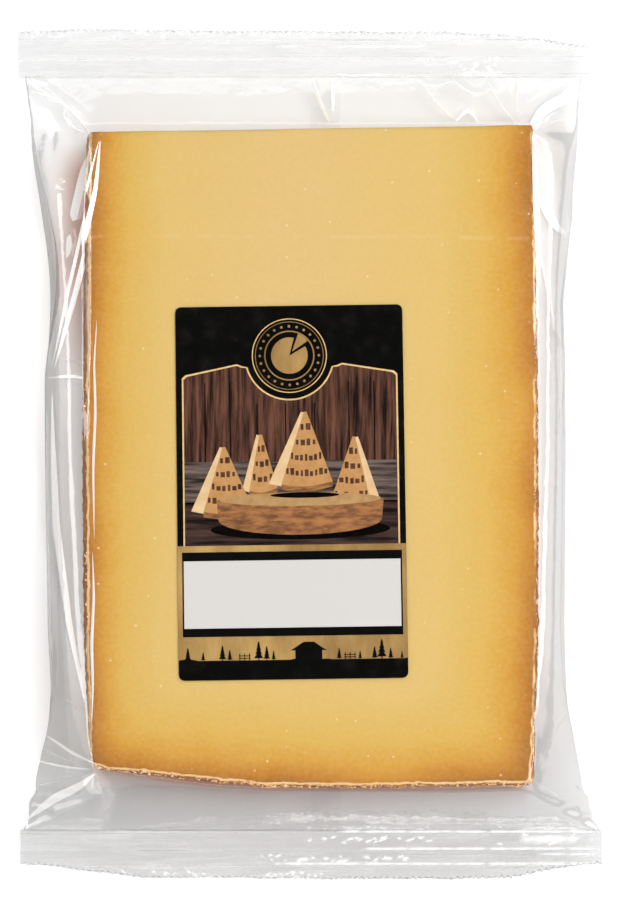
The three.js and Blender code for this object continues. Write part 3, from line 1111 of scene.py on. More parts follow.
    def hold(self, p: np.ndarray, weak: float) -> np.ndarray:
        """Goes once through the film's threads along, across and on both diagonals.

        Args:
            p: the points.
            weak: how well the film resists being pushed together.

        Returns:
            The points after it.
        """
        across = 2 * self.lay_flat / self.cols
        along = self.along
        slant = np.hypot(across, along)
        for shift in (0, 1):
            p = np.roll(p, -shift, 1)
            move = self.pull(p[:, 0::2], p[:, 1::2], across, weak)
            p[:, 0::2] += move
            p[:, 1::2] -= move
            p = np.roll(p, shift, 1)
        for first in (0, 1):
            pairs = (self.rows - first) // 2
            near = slice(first, first + 2 * pairs, 2)
            far = slice(first + 1, first + 1 + 2 * pairs, 2)
            move = self.pull(p[near], p[far], along[first::2][:pairs], weak)
            p[near] += move
            p[far] -= move
            for turn in (1, -1):
                move = self.pull(p[near], np.roll(p[far], -turn, 1), slant[first::2][:pairs], weak) * 0.5
                p[near] += move
                p[far] -= np.roll(move, turn, 1)
        return p

    def settle(self) -> np.ndarray:
        """Lets the film find its folds.

        Returns:
            The settled points.
        """
        rng = np.random.default_rng(self.seed)
        home = self.start()
        lengths = np.linalg.norm(np.diff(home[:, self.cols // 2], axis=0), axis=1)
        even = self.web_length / (self.rows - 1)
        self.along = (0.88 * lengths * self.web_length / lengths.sum() + 0.12 * even)[:, None]
        p = home.copy()
        p[1:-1] += rng.normal(0, 0.1, p[1:-1].shape)
        before = p.copy()
        folds = [home[..., 0].argmax(1), home[..., 0].argmin(1)]
        rows = np.arange(self.rows)
        ends = np.clip((np.abs(home[:, :1, 1]) - 81) / 4, 0, 1) * 0.6
        steps = self.steps
        for _ in range(steps):
            speed = (p - before) * 0.9
            before = p.copy()
            round_it = np.roll(p, -1, 1) - np.roll(p, 1, 1)
            along = np.zeros_like(p)
            along[1:-1] = p[2:] - p[:-2]
            inward = np.cross(round_it, along)
            inward /= np.linalg.norm(inward, axis=-1, keepdims=True) + 1e-9
            over = (np.abs(p[..., 0]) < WEDGE.half(p[..., 1]) - 2) & (np.abs(p[..., 1]) < 81)
            beside = np.clip((84 - np.abs(p[..., 1])) / 10, 0, 1)
            p += speed + np.where(over, self.cling, -self.air * beside)[..., None] * inward
            for _ in range(self.inner):
                p = self.hold(p, 0.75)
                p += ((np.roll(p, 1, 1) + np.roll(p, -1, 1)) / 2 - p) * 0.02
                p[1:-1] += ((p[2:] + p[:-2]) / 2 - p[1:-1]) * 0.02
                for fold in folds:
                    p[rows, fold, 0] += (home[rows, fold, 0] - p[rows, fold, 0]) * self.guide
                p[..., 1:] += (home - p)[..., 1:] * ends[..., None]
                p[0], p[-1] = home[0], home[-1]
                self.keep_out(p)
        return p

    def lay_down(self, mesh: bpy.types.Mesh) -> None:
        """Lays the film flat on the cheese's upper face, right up to its edges.

        Args:
            mesh: the film's mesh, changed in place.
        """
        co = points_of(mesh)
        x, y, z = co.T
        gap = z - WEDGE.top(y) - 0.34
        side = WEDGE.half(y) - np.abs(x)
        inside = np.minimum(np.minimum(side, WEDGE.tip - WEDGE.tip_slant * x - y), y - WEDGE.heel_edge(x))
        share = np.clip((inside + 0.5) / 1.8, 0, 1) * 0.98
        co[:, 2] -= np.where((gap > -1) & (gap < 4), share * gap, 0)
        move_points(mesh, co)

    def paint_shade(self, mesh: bpy.types.Mesh) -> None:
        """Marks where the film is darkened to paint shade: a painted contact shadow close beside the heel,
        and painted shade beside the left rind.

        Args:
            mesh: the film's mesh, which gets the attribute.
        """
        x, y, _ = points_of(mesh).T
        beyond = WEDGE.heel_edge(x) - 0.4 - y
        heel = np.exp(-((np.clip(beyond, 0, None) / 4.4) ** 2)) * (beyond > -0.4)
        heel = heel * np.clip((57 - np.abs(x)) / 4, 0, 1)
        beside = -x - WEDGE.half(y)
        window = np.clip((79 - y) / 8, 0, 1) * np.clip((y - 16) / 30, 0, 1)
        left = 0.7 * np.exp(-((np.clip(beside, 0, None) / 7) ** 2)) * (beside > 0.6) * window
        mark(mesh, "painted_shade", np.clip(heel + left, 0, 1) * (normals_of(mesh)[:, 2] > 0.1))

    def build(self) -> list[bpy.types.Object]:
        """Makes and dresses the sleeve.

        Returns:
            Its one piece.
        """
        self.grid = self.settle()
        piece = from_grid("film_wrap", self.grid * MM, closed=True)
        apply_modifier(piece, "SUBSURF", levels=1, render_levels=1)
        # The sleeve's tint turns warm brown beside the heel and the left rind: a painted contact shadow and
        # painted shade.
        piece.data.materials.append(FilmFinish(shade_and_edge_grey="painted_shade", shade_and_edge_grey_colour="C49379").build())
        self.lay_down(piece.data)
        self.paint_shade(piece.data)
        for crease in CREASES:
            crease.press(piece.data)
        # Both pinch finishes paint highlights: a white diffuse share and a faint emitted glow stand in for
        # light that the folds catch.
        pinched = FilmFinish("pinched film", roughness=0.12, mirror=1.4, most=0.5, scatter_and_painted_highlight=0.55, glow=0.12)
        highlight_painted = FilmFinish("whitened fold", roughness=0.12, mirror=1.4, most=0.6, scatter_and_painted_highlight=0.92, glow=0.46)
        finishes = {False: pinched.build(), True: highlight_painted.build()}
        pinches = []
        for crease in CREASES:
            if crease.tuck:
                pinches.append(crease.pinch(piece.data))
                pinches[-1].data.materials.append(finishes[crease.white])
        piece = join([piece, *pinches], "film_wrap")
        take(piece)
        bpy.ops.object.shade_smooth()
        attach(piece, BODY)
        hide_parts("film_sleeve")
        seam = BackSeam(self).build()
        seals = [seal.build() for seal in (TIP_SEAL, HEEL_SEAL)]
        return [piece, seam, *seals]


@dataclass
class BackSeam:
    """The long seam: the web's two edges sealed together and folded flat under the pack."""

    tube: FilmTube
    width: float = 7.6
    lines: tuple[float, ...] = (0.0, 0.08, 0.16, 0.5, 0.84, 0.92, 1.0)

    def build(self) -> bpy.types.Object:
        """Makes and dresses the seam.

        Returns:
            Its piece.
        """
        grid = self.tube.grid
        near = np.r_[-14:16]
        strip = np.zeros((self.tube.rows, len(self.lines), 3))
        for r in range(self.tube.rows):
            row = grid[r, near]
            order = row[:, 0].argsort()
            x = SEAM_X + (np.array(self.lines) - 0.5) * self.width
            strip[r, :, 0] = x + 0.25 * math.sin(r * 0.11)
            strip[r, :, 1] = grid[r, 0, 1]
            strip[r, :, 2] = np.interp(x, row[order, 0], row[order, 2]) - 0.16
        strip[..., 2] = np.maximum(strip[..., 2], 0.02)
        piece = from_grid("film_seam", strip * MM, closed=False)
        piece.data.materials.append(FilmFinish("folded seam film", "FFFFFF", 0.12, 0.45, scatter_and_painted_highlight=0.03).build())
        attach(piece, BODY)
        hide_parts("film_back_seam")
        return piece


@dataclass
class EndSeal:
    """A crimped band where the sleeve is sealed flat, cut off by a zigzag knife."""

    name: str
    node: str
    way: int  # +1 towards the tip, -1 towards the heel
    height: float
    left: float
    right: float
    edge_x: tuple[float, ...]
    edge_y: tuple[float, ...]
    rows: int = 84
    inner: float = 95.2
    tooth: float = 1.6
    bite: float = 0.75
    ridges: tuple[float, ...] = (0.5, 4.8, 9.1)
    ridge_height: float = 0.42
    fine: float = 0.72
    seed: float = 0.0
    tint: str = "FAFAFA"
    # each painted highlight line: distance from the inner edge, first x, last x, half width, strength
    painted_highlight_lines: tuple[tuple[float, float, float, float, float], ...] = ()
    # each row of painted highlight specks: the same, with how many of them there are in place of the strength
    painted_highlight_specks: tuple[tuple[float, float, float, float, float], ...] = ()

    def crimp(self, s: np.ndarray) -> np.ndarray:
        """Height of the crimp at a distance s from the inner edge."""
        rise = sum(self.ridge_height * np.exp(-(((s - place) / 0.46) ** 2)) for place in self.ridges)
        return rise + 0.045 * np.sin(2 * math.pi * s / self.fine)

    def sway(self, x: np.ndarray, fine: float, layer: float) -> np.ndarray:
        """A number from about -1 to 1 for each column, the same on each run."""
        return np.array([noise.noise(Vector((v * fine, self.seed, layer))) for v in x])

    @staticmethod
    def cloud(x: np.ndarray, down: np.ndarray, fine: tuple[float, float], layer: float) -> np.ndarray:
        """A number from about -1 to 1 for each point, the same on each run.

        Args:
            x: the place across the pack of each column.
            down: the place of each row.
            fine: how fast the numbers change across and along the pack.
            layer: which of many such patterns it is.

        Returns:
            The numbers by row and column.
        """
        return np.array(
            [[noise.noise(Vector((v * fine[0], float(d) * fine[1], layer))) for v in x] for d in down]
        )

    def paint_crimp_highlights(self, x: np.ndarray, s: np.ndarray) -> np.ndarray:
        """Where highlights are painted white on the crimps, as lines and specks.

        Args:
            x: the place across the pack of each column.
            s: each point's distance from the inner edge.

        Returns:
            A value from 0 to 1 for each point.
        """
        total = np.zeros_like(s)
        broken = 0.5 + 0.9 * self.sway(x, 0.35, 7.0)
        for place, low, high, half, strength in self.painted_highlight_lines:
            ends = np.clip(np.minimum(x - low, high - x) / 3, 0, 1)
            line = np.exp(-(((s - place) / half) ** 2))
            total += line * (ends * strength * np.clip(0.35 + broken, 0, 1))[None, :]
        rng = np.random.default_rng(int(self.seed) + 3)
        for place, low, high, half, many in self.painted_highlight_specks:
            for _ in range(int(many)):
                spot_x, spot_s = rng.uniform(low, high), place + rng.uniform(-half, half)
                wide, tall = rng.uniform(0.25, 0.8), rng.uniform(0.16, 0.34)
                tilt = s - spot_s - (x - spot_x)[None, :] * rng.uniform(-0.5, 0.5)
                total += 0.9 * np.exp(-((((x - spot_x)[None, :]) / wide) ** 2) - (tilt / tall) ** 2)
        return np.clip(total, 0, 1)

    def grey_cut_edge(self, x: np.ndarray, s: np.ndarray, out: np.ndarray) -> np.ndarray:
        """A grey band along the cut edge, broken by noise.

        Args:
            x: the place across the pack of each column.
            s: each point's distance from the inner edge.
            out: where each column is cut off.

        Returns:
            A value from 0 to 1 for each point.
        """
        left = (out - self.inner)[None, :] - s
        grain = self.cloud(x, np.linspace(0, 12, len(s)), (1.3, 1.5), self.seed)
        return np.clip(1 - left / 1.5, 0, 1) * np.clip(0.25 + 1.2 * grain, 0, 1)

    def build(self) -> bpy.types.Object:
        """Makes and dresses the seal.

        Returns:
            Its piece.
        """
        cols = int((self.right - self.left) / (self.tooth / 4)) + 1
        x = np.linspace(self.left, self.right, cols)
        rough, ragged = self.sway(x, 0.13, 0.0), self.sway(x, 1.7, 2.0)
        out = np.interp(x, self.edge_x, self.edge_y) + 0.35 * rough + 0.55 * ragged
        share = np.linspace(0, 1, self.rows)[:, None]
        s = share * (out - self.inner)[None, :]
        teeth = np.abs((x / self.tooth) % 1 - 0.5) * 2 * self.bite
        y = self.inner + s - np.where(share > 0.999, teeth[None, :], 0)
        wave = self.cloud(x, s[:, 0], (0.05, 0.16), self.seed + 9)
        lift = share * (0.9 * self.sway(x, 0.028, 4.0)[None, :]) + 0.35 * wave * share
        grid = np.zeros((self.rows, cols, 3))
        grid[..., 0] = x[None, :] + 0.0 * y
        grid[..., 1] = self.way * y
        grid[..., 2] = self.height + self.crimp(s) * (0.75 + 0.5 * np.abs(wave)) + lift
        marks = {"painted_highlights": self.paint_crimp_highlights(x, s), "cut": self.grey_cut_edge(x, s, out)}
        if self.way < 0:
            grid = grid[::-1]
            marks = {label: values[::-1] for label, values in marks.items()}
        piece = from_grid(self.name, grid * MM, closed=False)
        for label, values in marks.items():
            mark(piece.data, label, values)
        apply_modifier(piece, "SOLIDIFY", thickness=0.12 * MM, offset=0)
        take(piece)
        bpy.ops.object.shade_smooth_by_angle(angle=math.radians(50))
        # The crimps' marked lines and specks are painted highlights; the cut edge gets a grey band.
        finish = FilmFinish(
            f"{self.name} film",
            self.tint,
            roughness=0.07,
            ripple=0.3,
            scatter_and_painted_highlight=0.03,
            streak=0.13,
            mark="painted_highlights",
            shade_and_edge_grey="cut",
        )
        piece.data.materials.append(finish.build())
        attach(piece, BODY)
        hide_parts(self.node)
        return piece


TIP_SEAL = EndSeal(
    name="tip_seal",
    node="film_tip_end_seal",
    way=1,
    height=TIP_SEAL_Z,
    left=-74.6,
    right=70.4,
    edge_x=(-75, -60, -20, 30, 50, 71),
    edge_y=(107.0, 107.6, 107.2, 107.0, 106.2, 103.2),
    seed=2.0,
    painted_highlight_lines=(
        (7.9, 6.0, 30.0, 0.24, 1.0),
        (7.9, -9.0, -2.0, 0.2, 0.7),
        (0.7, 4.0, 21.0, 0.22, 0.9),
        (0.9, 36.0, 50.0, 0.5, 0.6),
        (4.6, -62.0, -10.0, 0.2, 0.25),
        (10.4, 30.0, 44.0, 0.25, 0.5),
    ),
    painted_highlight_specks=((3.0, 28.0, 48.0, 1.8, 16), (9.6, 28.0, 38.0, 1.0, 6), (10.9, -72.0, 66.0, 0.7, 46)),
)
HEEL_SEAL = EndSeal(
    name="heel_seal",
    node="film_heel_end_seal",
    way=-1,
    height=HEEL_SEAL_Z,
    left=-73.4,
    right=73.2,
    edge_x=(-74, -65, -42, 20, 50, 62, 74),
    edge_y=(103.6, 104.6, 107.4, 107.7, 107.5, 105.0, 103.4),
    seed=5.0,
    # A darker tint than the tip seal's, on the same film: painted shade.
    tint="F1F1F1",
    painted_highlight_lines=(
        (0.5, 6.0, 72.0, 0.24, 1.0),
        (0.6, -52.0, -30.0, 0.2, 0.3),
        (4.8, 12.0, 73.0, 0.26, 1.0),
        (8.6, -10.0, 73.0, 0.26, 1.0),
        (6.2, 56.0, 73.0, 0.2, 0.8),
        (2.4, 52.0, 68.0, 0.9, 0.9),
        (9.6, -60.0, -14.0, 0.2, 0.3),
    ),
    painted_highlight_specks=(
        (2.5, -3.0, 31.0, 0.8, 26),
        (7.2, -13.0, 26.0, 0.8, 24),
        (11.4, -60.0, 10.0, 0.9, 34),
        (2.4, 46.0, 72.0, 1.4, 10),
    ),
)


# ------------------------------------------------------------------ the label


@dataclass(frozen=True)
class InkFinish:
    """One printed ink or foil, with the pattern that it prints."""

    name: str
    dark: str
    light: str
    stretch: tuple[float, float, float] = (1, 1, 1)
    scale: float = 600.0
    low: float = 0.35
    high: float = 0.65
    metal: float = 0.0
    rough: float = 0.42
    gloss: float = 0.2

    def build(self) -> bpy.types.Material:
        """Makes the material.

        Returns:
            The material.
        """
        material, w, out = new_material(self.name)
        pattern = w.span(w.noise(w.place(self.stretch), self.scale, 6, 0.62), self.low, self.high)
        colour = w.mix(pattern, linear(self.dark), linear(self.light))
        grain = w.noise(w.place(), 2600, 2, 0.5)
        shader = w.node(
            "ShaderNodeBsdfPrincipled",
            {
                "Base Color": colour,
                "Roughness": self.rough,
                "Metallic": self.metal,
                "Specular IOR Level": self.gloss,
                "Normal": w.bump(0.12, 0.03 * MM, grain),
            },
        )
        w.put(out.inputs["Surface"], shader.outputs[0])
        return material


class Ink(Enum):
    """The inks of the label, from the ground up."""

    SLATE = InkFinish("slate black ink", "030302", "12110E", scale=260, low=0.45, high=0.8, gloss=0.08)
    BLACK = InkFinish("plain black ink", "030303", "060605", gloss=0.08)
    GOLD = InkFinish(
        "gold foil", "8A6834", "C9A360", (1, 0.3, 1), 60, 0.3, 0.7, metal=0.3, rough=0.36, gloss=0.5
    )
    LINE = InkFinish("bright gold line", "D2AB6A", "E0BE82", metal=0.15, gloss=0.3, scale=900)
    WHITE = InkFinish("white paper", "CBC8C5", "CDCAC7", scale=2500, gloss=0.1)
    PLANK = InkFinish("dark plank print", "120A06", "6E4636", (9, 0.55, 1), 95, 0.32, 0.72, gloss=0.08)
    PLANK_GAP = InkFinish("plank gap print", "020101", "080504", gloss=0.05)
    LEDGE = InkFinish("grey ledge print", "1C1512", "75655C", (0.5, 8, 1), 120, 0.32, 0.7, gloss=0.08)
    SHADE = InkFinish("shaded ledge print", "0C0706", "4A352E", (0.5, 6, 1), 120, 0.3, 0.7, gloss=0.08)
    PASTE = InkFinish("cut cheese print", "CFA878", "DDBF92", scale=300, low=0.2, high=0.8)
    FACE = InkFinish("cheese side print", "AD7B45", "C08F57", scale=500, low=0.2, high=0.8)
    CRUST = InkFinish("cheese crust print", "5E391E", "A8703F", (0.6, 2, 1), 420, 0.28, 0.7)
    MARK = InkFinish("rind mark print", "3A2012", "5A3620", scale=500)
    TOP = InkFinish("wheel top print", "9C7646", "B8925F", scale=420, low=0.2, high=0.8)


Spot = tuple[float, float]
Outline = Sequence[Spot]


@dataclass
class Label:
    """The printed sticker, every ink a thin raised print of its own.

    All its sizes are in millimetres, from the middle of the label.
    """

    half_width: float = 28.5
    half_length: float = 46.8
    corner: float = 1.5
    turn_deg: float = 0.8
    lift: float = 0.55
    paper: float = 0.1
    ink: float = 0.018
    medal: Spot = (0.0, 34.2)
    medal_radius: float = 9.4
    parts: list[bpy.types.Object] = field(default_factory=list, init=False)
    inks: dict = field(default_factory=dict, init=False)

    def print_on(self, ink: Ink, outline: Outline, level: float, thick: float = 0.0) -> None:
        """Prints one closed outline.

        Args:
            ink: what it's printed in.
            outline: its corners, in order.
            level: how many inks lie under it.
            thick: its thickness, where that isn't one ink's.
        """
        deselect()
        bpy.ops.mesh.primitive_circle_add(vertices=len(outline), radius=1, fill_type="NGON")
        part = bpy.context.active_object
        low = self.paper + level * self.ink if not thick else 0.0
        for vertex, (x, y) in zip(part.data.vertices, outline):
            vertex.co = (x, y, low)
        bpy.ops.object.mode_set(mode="EDIT")
        bpy.ops.mesh.select_all(action="SELECT")
        bpy.ops.mesh.extrude_region_move(TRANSFORM_OT_translate={"value": (0, 0, thick or self.ink)})
        bpy.ops.mesh.select_all(action="SELECT")
        bpy.ops.mesh.normals_make_consistent(inside=False)
        bpy.ops.object.mode_set(mode="OBJECT")
        if ink not in self.inks:
            self.inks[ink] = ink.value.build()
        part.data.materials.append(self.inks[ink])
        self.parts.append(part)

    @staticmethod
    def box(left: float, right: float, low: float, high: float) -> Outline:
        """A rectangle's corners."""
        return [(left, low), (right, low), (right, high), (left, high)]

    @staticmethod
    def arc(centre: Spot, radii: Spot, start: float, end: float, count: int) -> Outline:
        """Points along part of an ellipse.

        Args:
            centre: its middle.
            radii: its half width and half height.
            start: the first angle, in degrees.
            end: the last angle, in degrees.
            count: how many points.

        Returns:
            The points.
        """
        angles = np.radians(np.linspace(start, end, count))
        return [(centre[0] + radii[0] * math.cos(a), centre[1] + radii[1] * math.sin(a)) for a in angles]

    def rounded(self) -> Outline:
        """The label's own outline, with round corners."""
        w, h, r = self.half_width - self.corner, self.half_length - self.corner, self.corner
        points: list = []
        for start, x, y in ((0, w, h), (90, -w, h), (180, -w, -h), (270, w, -h)):
            points += self.arc((x, y), (r, r), start, start + 90, 7)
        return points

    def window(self, inset: float) -> Outline:
        """The picture's outline, which dips under the medallion.

        Args:
            inset: how far inside the outer line it lies.

        Returns:
            The points.
        """
        side, floor, reach = 27.0 - inset, -13.3, 10.9 + inset
        dip = self.arc(self.medal, (reach, reach), 345 - 0.6 * inset, 195 + 0.6 * inset, 25)
        crest = 32.2 - inset
        return [
            (-side, floor),
            (side, floor),
            (side, 29.3 - inset),
            (side - 0.9, 30.1 - inset),
            (13.2, crest),
            (11.9 + inset * 0.6, crest - 0.5),
            *dip,
            (-11.9 - inset * 0.6, crest - 0.5),
            (-13.2, crest),
            (-side + 0.9, 29.6 - inset),
            (-side, 28.8 - inset),
        ]

    def ring(self, ink: Ink, outer: float, inner: float, under: Ink, level: float) -> None:
        """Prints a ring as one disc on another.

        Args:
            ink: the ring's ink.
            outer: its outer radius.
            inner: its inner radius.
            under: the ink that shows inside it.
            level: how many inks lie under it.
        """
        self.print_on(ink, self.arc(self.medal, (outer, outer), 0, 354, 60), level)
        self.print_on(under, self.arc(self.medal, (inner, inner), 0, 354, 60), level + 1)

    def scenery(self) -> None:
        """Prints the planks, the ledge, a wheel and wedges of cheese."""
        self.print_on(Ink.LINE, self.window(0.0), 1)
        self.print_on(Ink.PLANK, self.window(0.4), 2)
        for x in (-21.4, -15.2, 14.6, 20.9):
            self.print_on(Ink.PLANK_GAP, self.box(x, x + 0.28, 7.6, 27.6), 3)
        for x in (-8.4, -1.3, 6.0):
            self.print_on(Ink.PLANK_GAP, self.box(x, x + 0.28, 7.6, 22.2), 3)
        self.print_on(Ink.LEDGE, self.box(-26.6, 26.6, -2.6, 7.7), 3)
        self.print_on(Ink.SHADE, self.box(-26.6, 26.6, -13.3, -2.6), 3)
        self.print_on(Ink.PLANK_GAP, self.box(-26.6, 26.6, -2.9, -2.4), 4)
        self.wedge((-16.8, 11.4), -25.0, -9.6, -5.2, 5, -1)
        self.wedge((-7.6, 14.4), -12.2, -3.4, 0.0, 4, -1)
        self.wedge((16.0, 13.6), 9.6, 22.6, -4.2, 4, 1)
        self.print_on(Ink.PLANK_GAP, self.arc((2.2, -9.4), (22.4, 2.6), 0, 354, 48), 4)
        low = self.arc((2.2, -6.9), (20.4, 3.9), 180, 360, 25)
        high = self.arc((2.2, -2.2), (20.8, 1.9), 0, 180, 25)
        self.print_on(Ink.CRUST, [*low, *high], 6)
        self.print_on(Ink.TOP, self.arc((2.2, -1.9), (20.2, 1.7), 0, 354, 48), 7)
        self.print_on(Ink.PLANK_GAP, self.arc((3.4, -0.9), (8.6, 0.7), 0, 352, 32), 8)
        self.wedge((3.6, 20.0), -5.6, 10.4, 1.4, 9, -1)

    def wedge(self, apex: Spot, left: float, right: float, base: float, level: int, lit: int) -> None:
        """Prints one standing wedge of cheese.

        Args:
            apex: its upper point.
            left: where its base begins.
            right: where its base ends.
            base: how low it stands.
            level: how many inks lie under it.
            lit: -1 where its cut side shows on the left, 1 on the right.
        """
        x, y = apex
        width = right - left
        near, far = (left, right) if lit < 0 else (right, left)
        inner = near - lit * width * 0.24
        cut = [(x + 0.9 * lit, y), (near, base + 0.6), (inner, base - 0.2), (x, y - 0.2)]
        self.print_on(Ink.PASTE, self.facing(cut), level)
        start = near - lit * width * 0.20
        foot = [
            (start + (far - start) * t, base + 0.4 - 0.9 * math.sin(math.pi * t) + 0.7 * t)
            for t in np.linspace(0, 1, 9)
        ]
        crust = [(px, py - 1.3) for px, py in foot]
        self.print_on(Ink.FACE, self.facing([(x + 0.2 * lit, y), *foot, (x - 0.5 * lit, y)]), level + 0.5)
        self.print_on(Ink.CRUST, self.facing([*foot, *crust[::-1]]), level + 0.7)
        rows = max(3, int((y - base) / 3.2))
        for row in range(1, rows):
            down = row / rows + 0.04
            low, high = x + (start - x) * down, x + (far - x) * down
            mark_y = y + (base + 0.2 - y) * down
            count = max(2, int(abs(high - low) / 1.15))
            tall = (y - base) / rows * 0.46
            for mark in range(count):
                middle = low + (high - low) * (mark + 0.5) / count
                sag = -0.9 * math.sin(math.pi * (mark + 0.5) / count) * down
                half = abs(high - low) / count * (0.24 + 0.08 * ((row * 3 + mark * 5) % 3))
                low_y = mark_y + sag
                high_y = low_y + tall * (1 - 0.14 * ((row + mark * 2) % 3))
                self.print_on(Ink.MARK, self.box(middle - half, middle + half, low_y, high_y), level + 0.9)

    @staticmethod
    def facing(outline: Outline) -> Outline:
        """The outline in anticlockwise order."""
        area = sum(a[0] * b[1] - b[0] * a[1] for a, b in zip(outline, [*outline[1:], outline[0]]))
        return list(outline) if area > 0 else list(outline)[::-1]

    def fir(self, x: float, height: float) -> None:
        """Prints one fir tree.

        Args:
            x: where it stands.
            height: how tall it is.
        """
        ground, half = -42.0, height * 0.24
        right = [(0.12 * half, ground), (0.12 * half, ground + height * 0.12)]
        for tier in range(4):
            low = ground + height * (0.12 + 0.2 * tier)
            reach = half * (1 - 0.22 * tier)
            right += [(reach, low), (reach * 0.42, low + height * 0.22)]
        right.append((0, ground + height))
        left = [(-px, py) for px, py in right[:-1]][::-1]
        self.print_on(Ink.BLACK, [(x + px, py) for px, py in [*right, *left]], 5)

    def hills(self) -> None:
        """Prints the gold foot of the label, with firs, a barn and a fence on a low hill."""
        self.print_on(Ink.GOLD, self.box(-28.5, 28.5, -41.9, -13.3), 1)
        self.print_on(Ink.BLACK, self.box(-27.4, 27.4, -36.0, -14.9), 2)
        self.print_on(Ink.WHITE, self.box(-27.0, 27.0, -33.9, -17.1), 3)
        ground = [
            (x, -42.1 + 0.45 * math.sin(x * 0.21 + 1) + 0.2 * math.sin(x * 0.9))
            for x in np.linspace(28.4, -28.4, 60)
        ]
        self.print_on(Ink.SLATE, [(-28.4, -43.6), (28.4, -43.6), *ground], 3)
        for x, height in (
            (-26.2, 3.4), (-22.4, 2.3), (-17.6, 3.9), (-15.8, 2.8), (-8.6, 4.8), (-6.6, 3.6), (-4.9, 2.4),
            (11.4, 2.9), (16.6, 2.2), (20.2, 3.2), (22.0, 5.0), (24.2, 2.8), (27.0, 1.9),
        ):
            self.fir(x, height)
        roof = [(-0.8, -39.6), (8.4, -39.6), (7.6, -39.2), (5.2, -37.5), (2.6, -37.5), (0.0, -39.2)]
        self.print_on(Ink.BLACK, self.facing(roof), 5)
        self.print_on(Ink.BLACK, self.box(0.5, 7.2, -42.0, -39.4), 5)
        for x in (-13.4, -12.2, -11.0, 12.8, 14.0, 15.2):
            self.print_on(Ink.BLACK, self.box(x, x + 0.22, -42.0, -40.2), 5)
        for low in (-40.9, -41.5):
            self.print_on(Ink.BLACK, self.box(-13.6, -10.6, low, low + 0.2), 5)
            self.print_on(Ink.BLACK, self.box(12.6, 15.6, low, low + 0.2), 5)

    def medallion(self) -> None:
        """Prints plain rings round a cut wheel."""
        self.ring(Ink.LINE, self.medal_radius, self.medal_radius - 0.24, Ink.SLATE, 3)
        self.ring(Ink.GOLD, self.medal_radius - 0.8, self.medal_radius - 0.95, Ink.SLATE, 5)
        self.ring(Ink.GOLD, 6.3, 6.0, Ink.SLATE, 7)
        x, y = self.medal
        self.print_on(Ink.GOLD, [(x, y), *self.arc((x, y), (4.6, 4.6), 75, 390, 48)], 9)
        apart = (x + 0.7, y + 1.0)
        self.print_on(Ink.GOLD, [apart, *self.arc(apart, (4.7, 4.7), 34, 71, 9)], 9)
        for angle in range(0, 360, 15):
            spot = (x + 7.4 * math.cos(math.radians(angle)), y + 7.4 * math.sin(math.radians(angle)))
            self.print_on(Ink.GOLD, self.arc(spot, (0.34, 0.34), 0, 315, 8), 7)

    def build(self) -> list[bpy.types.Object]:
        """Makes and dresses the label.

        Returns:
            Its one piece.
        """
        self.print_on(Ink.SLATE, self.rounded(), 0, self.paper)
        self.scenery()
        self.hills()
        self.medallion()
        piece = join(self.parts, "front_label")
        height = WEDGE.top(LABEL_CENTRE[1]) + self.lift
        seat = (
            Matrix.Translation((*LABEL_CENTRE, height))
            @ Matrix.Rotation(math.radians(-WEDGE.slope_deg), 4, "X")
            @ Matrix.Rotation(math.radians(self.turn_deg), 4, "Z")
        )
        piece.data.transform(Matrix.Scale(MM, 4) @ seat)
        piece.matrix_world = Matrix.Identity(4)
        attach(piece, BODY)
        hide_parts("label")
        return [piece]


# ------------------------------------------------------------------ the studio


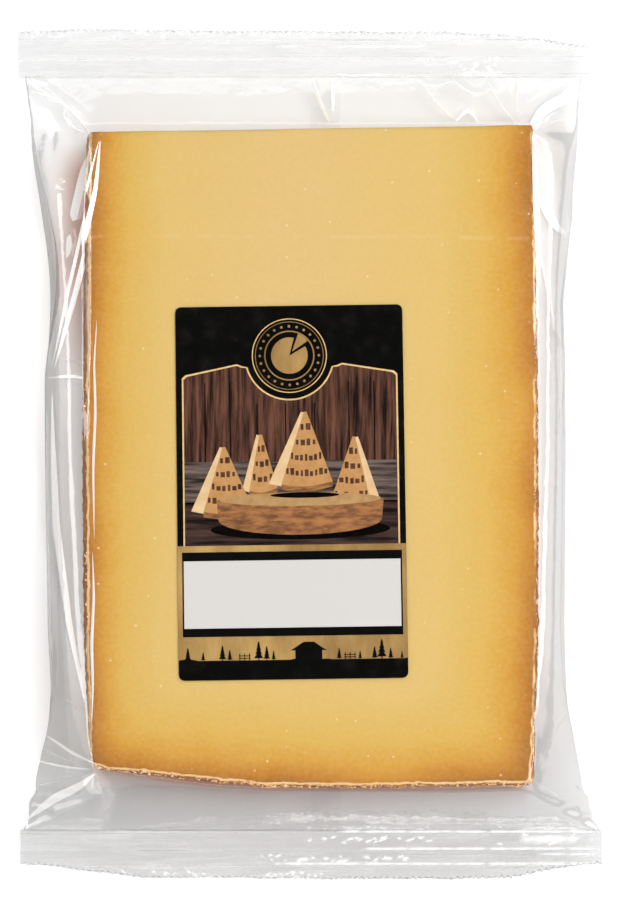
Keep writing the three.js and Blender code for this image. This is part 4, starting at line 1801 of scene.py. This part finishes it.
@dataclass
class Studio:
    """Floor, lights and camera."""

    view_long: float = 231.67606 * MM  # what the camera sees of the floor, along the pack
    distance: float = 0.9
    centre: tuple[float, float] = (-0.4 * MM, 0.0)

    def panel(self, name: str, place: tuple, size: tuple, power: float, mirrored: bool) -> None:
        """Adds one soft panel, pointed at the pack.

        Args:
            name: the light's name.
            place: where it stands.
            size: its two sides.
            power: its strength in watts.
            mirrored: True for a card that only shows in reflections, False for one that only lights.
        """
        data = bpy.data.lights.new(name, "AREA")
        data.shape = "RECTANGLE"
        data.size, data.size_y = size
        data.energy = power
        lamp = bpy.data.objects.new(name, data)
        lamp.location = place
        lamp.rotation_euler = (-Vector(place)).to_track_quat("-Z", "Y").to_euler()
        lamp.visible_glossy = mirrored
        lamp.visible_diffuse = not mirrored
        bpy.context.scene.collection.objects.link(lamp)

    def floor(self) -> None:
        """Lays a white floor, which mirrors show as a card that gets lighter to the right."""
        deselect()
        bpy.ops.mesh.primitive_plane_add(size=6, location=(0, 0, -0.0002))
        floor = bpy.context.active_object
        floor.name = "studio_floor"
        apply_place(floor)
        material, w, out = new_material("white sweep")
        matt = w.node("ShaderNodeBsdfDiffuse", {"Color": (0.88, 0.88, 0.88, 1), "Roughness": 0.5})
        lit = w.node("ShaderNodeEmission", {"Color": (1, 1, 1, 1), "Strength": 0.195})
        both = w.node("ShaderNodeAddShader", {0: matt.outputs[0], 1: lit.outputs[0]})
        brightness = w.span(w.axis(w.place(), 0), -0.12, 0.12, (0.24, 0.62))
        card = w.node("ShaderNodeEmission", {"Strength": brightness})
        shiny = w.node("ShaderNodeLightPath").outputs["Is Glossy Ray"]
        seen = w.node("ShaderNodeMixShader", {0: shiny, 1: both.outputs[0], 2: card.outputs[0]})
        w.put(out.inputs["Surface"], seen.outputs[0])
        floor.data.materials.append(material)

    def lights(self) -> None:
        """Hangs the key light, and the cards that only show in reflections."""
        self.panel("key", (0.29, 0.10, 1.20), (0.85, 0.85), 14.8, mirrored=False)
        self.panel("left card", (-0.75, 0.05, 0.95), (1.1, 0.26), 6.2, mirrored=True)
        self.panel("right card", (0.85, 0.2, 0.85), (0.9, 0.26), 5.6, mirrored=True)
        self.panel("heel card", (0.05, -0.85, 0.9), (1.1, 0.16), 1.6, mirrored=True)
        self.panel("tip card", (0.1, 0.85, 0.8), (1.1, 0.16), 1.3, mirrored=True)

    def air(self) -> None:
        """Fills the studio with soft light, dimmer and darker overhead in reflections."""
        world = bpy.data.worlds.new("studio air")
        bpy.context.scene.world = world
        world.use_nodes = True
        w = Wiring(world.node_tree)
        world.node_tree.nodes.clear()
        rays = w.node("ShaderNodeLightPath")
        soft = w.node("ShaderNodeBackground", {"Color": (1, 1, 1, 1), "Strength": 0.40})
        height = w.axis(w.node("ShaderNodeTexCoord").outputs["Generated"], 2)
        glow = w.span(height, 0.95, 0.6, (0.10, 0.36))
        dark = w.node("ShaderNodeBackground", {"Color": (1, 1, 1, 1), "Strength": glow})
        both = w.node(
            "ShaderNodeMixShader",
            {0: rays.outputs["Is Glossy Ray"], 1: soft.outputs[0], 2: dark.outputs[0]},
        )
        w.put(w.node("ShaderNodeOutputWorld").inputs["Surface"], both.outputs[0])

    def camera(self) -> None:
        """Hangs the camera straight over the pack."""
        scene = bpy.context.scene
        camera = bpy.data.cameras.new("camera")
        camera.type = "PERSP"
        camera.sensor_width = 36
        camera.lens = camera.sensor_width * self.distance / self.view_long
        eye = bpy.data.objects.new("camera", camera)
        eye.location = (*self.centre, self.distance)
        scene.collection.objects.link(eye)
        scene.camera = eye
        scene.view_settings.view_transform = "Standard"
        scene.cycles.transparent_max_bounces = 24
        scene.cycles.max_bounces = 10

    def build(self) -> None:
        """Sets up the studio."""
        self.floor()
        self.lights()
        self.air()
        self.camera()


def main() -> None:
    """Builds the pack in order and reports each piece."""
    logging.basicConfig(level=logging.INFO, format="%(name)s: %(message)s")
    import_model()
    Studio().build()
    made = [*Cheese().build(), *FilmTube().build(), *Label().build()]
    for piece in made:
        LOG.info("%s: %d faces", piece.name, len(piece.data.polygons))


if __name__ == "__main__":
    main()
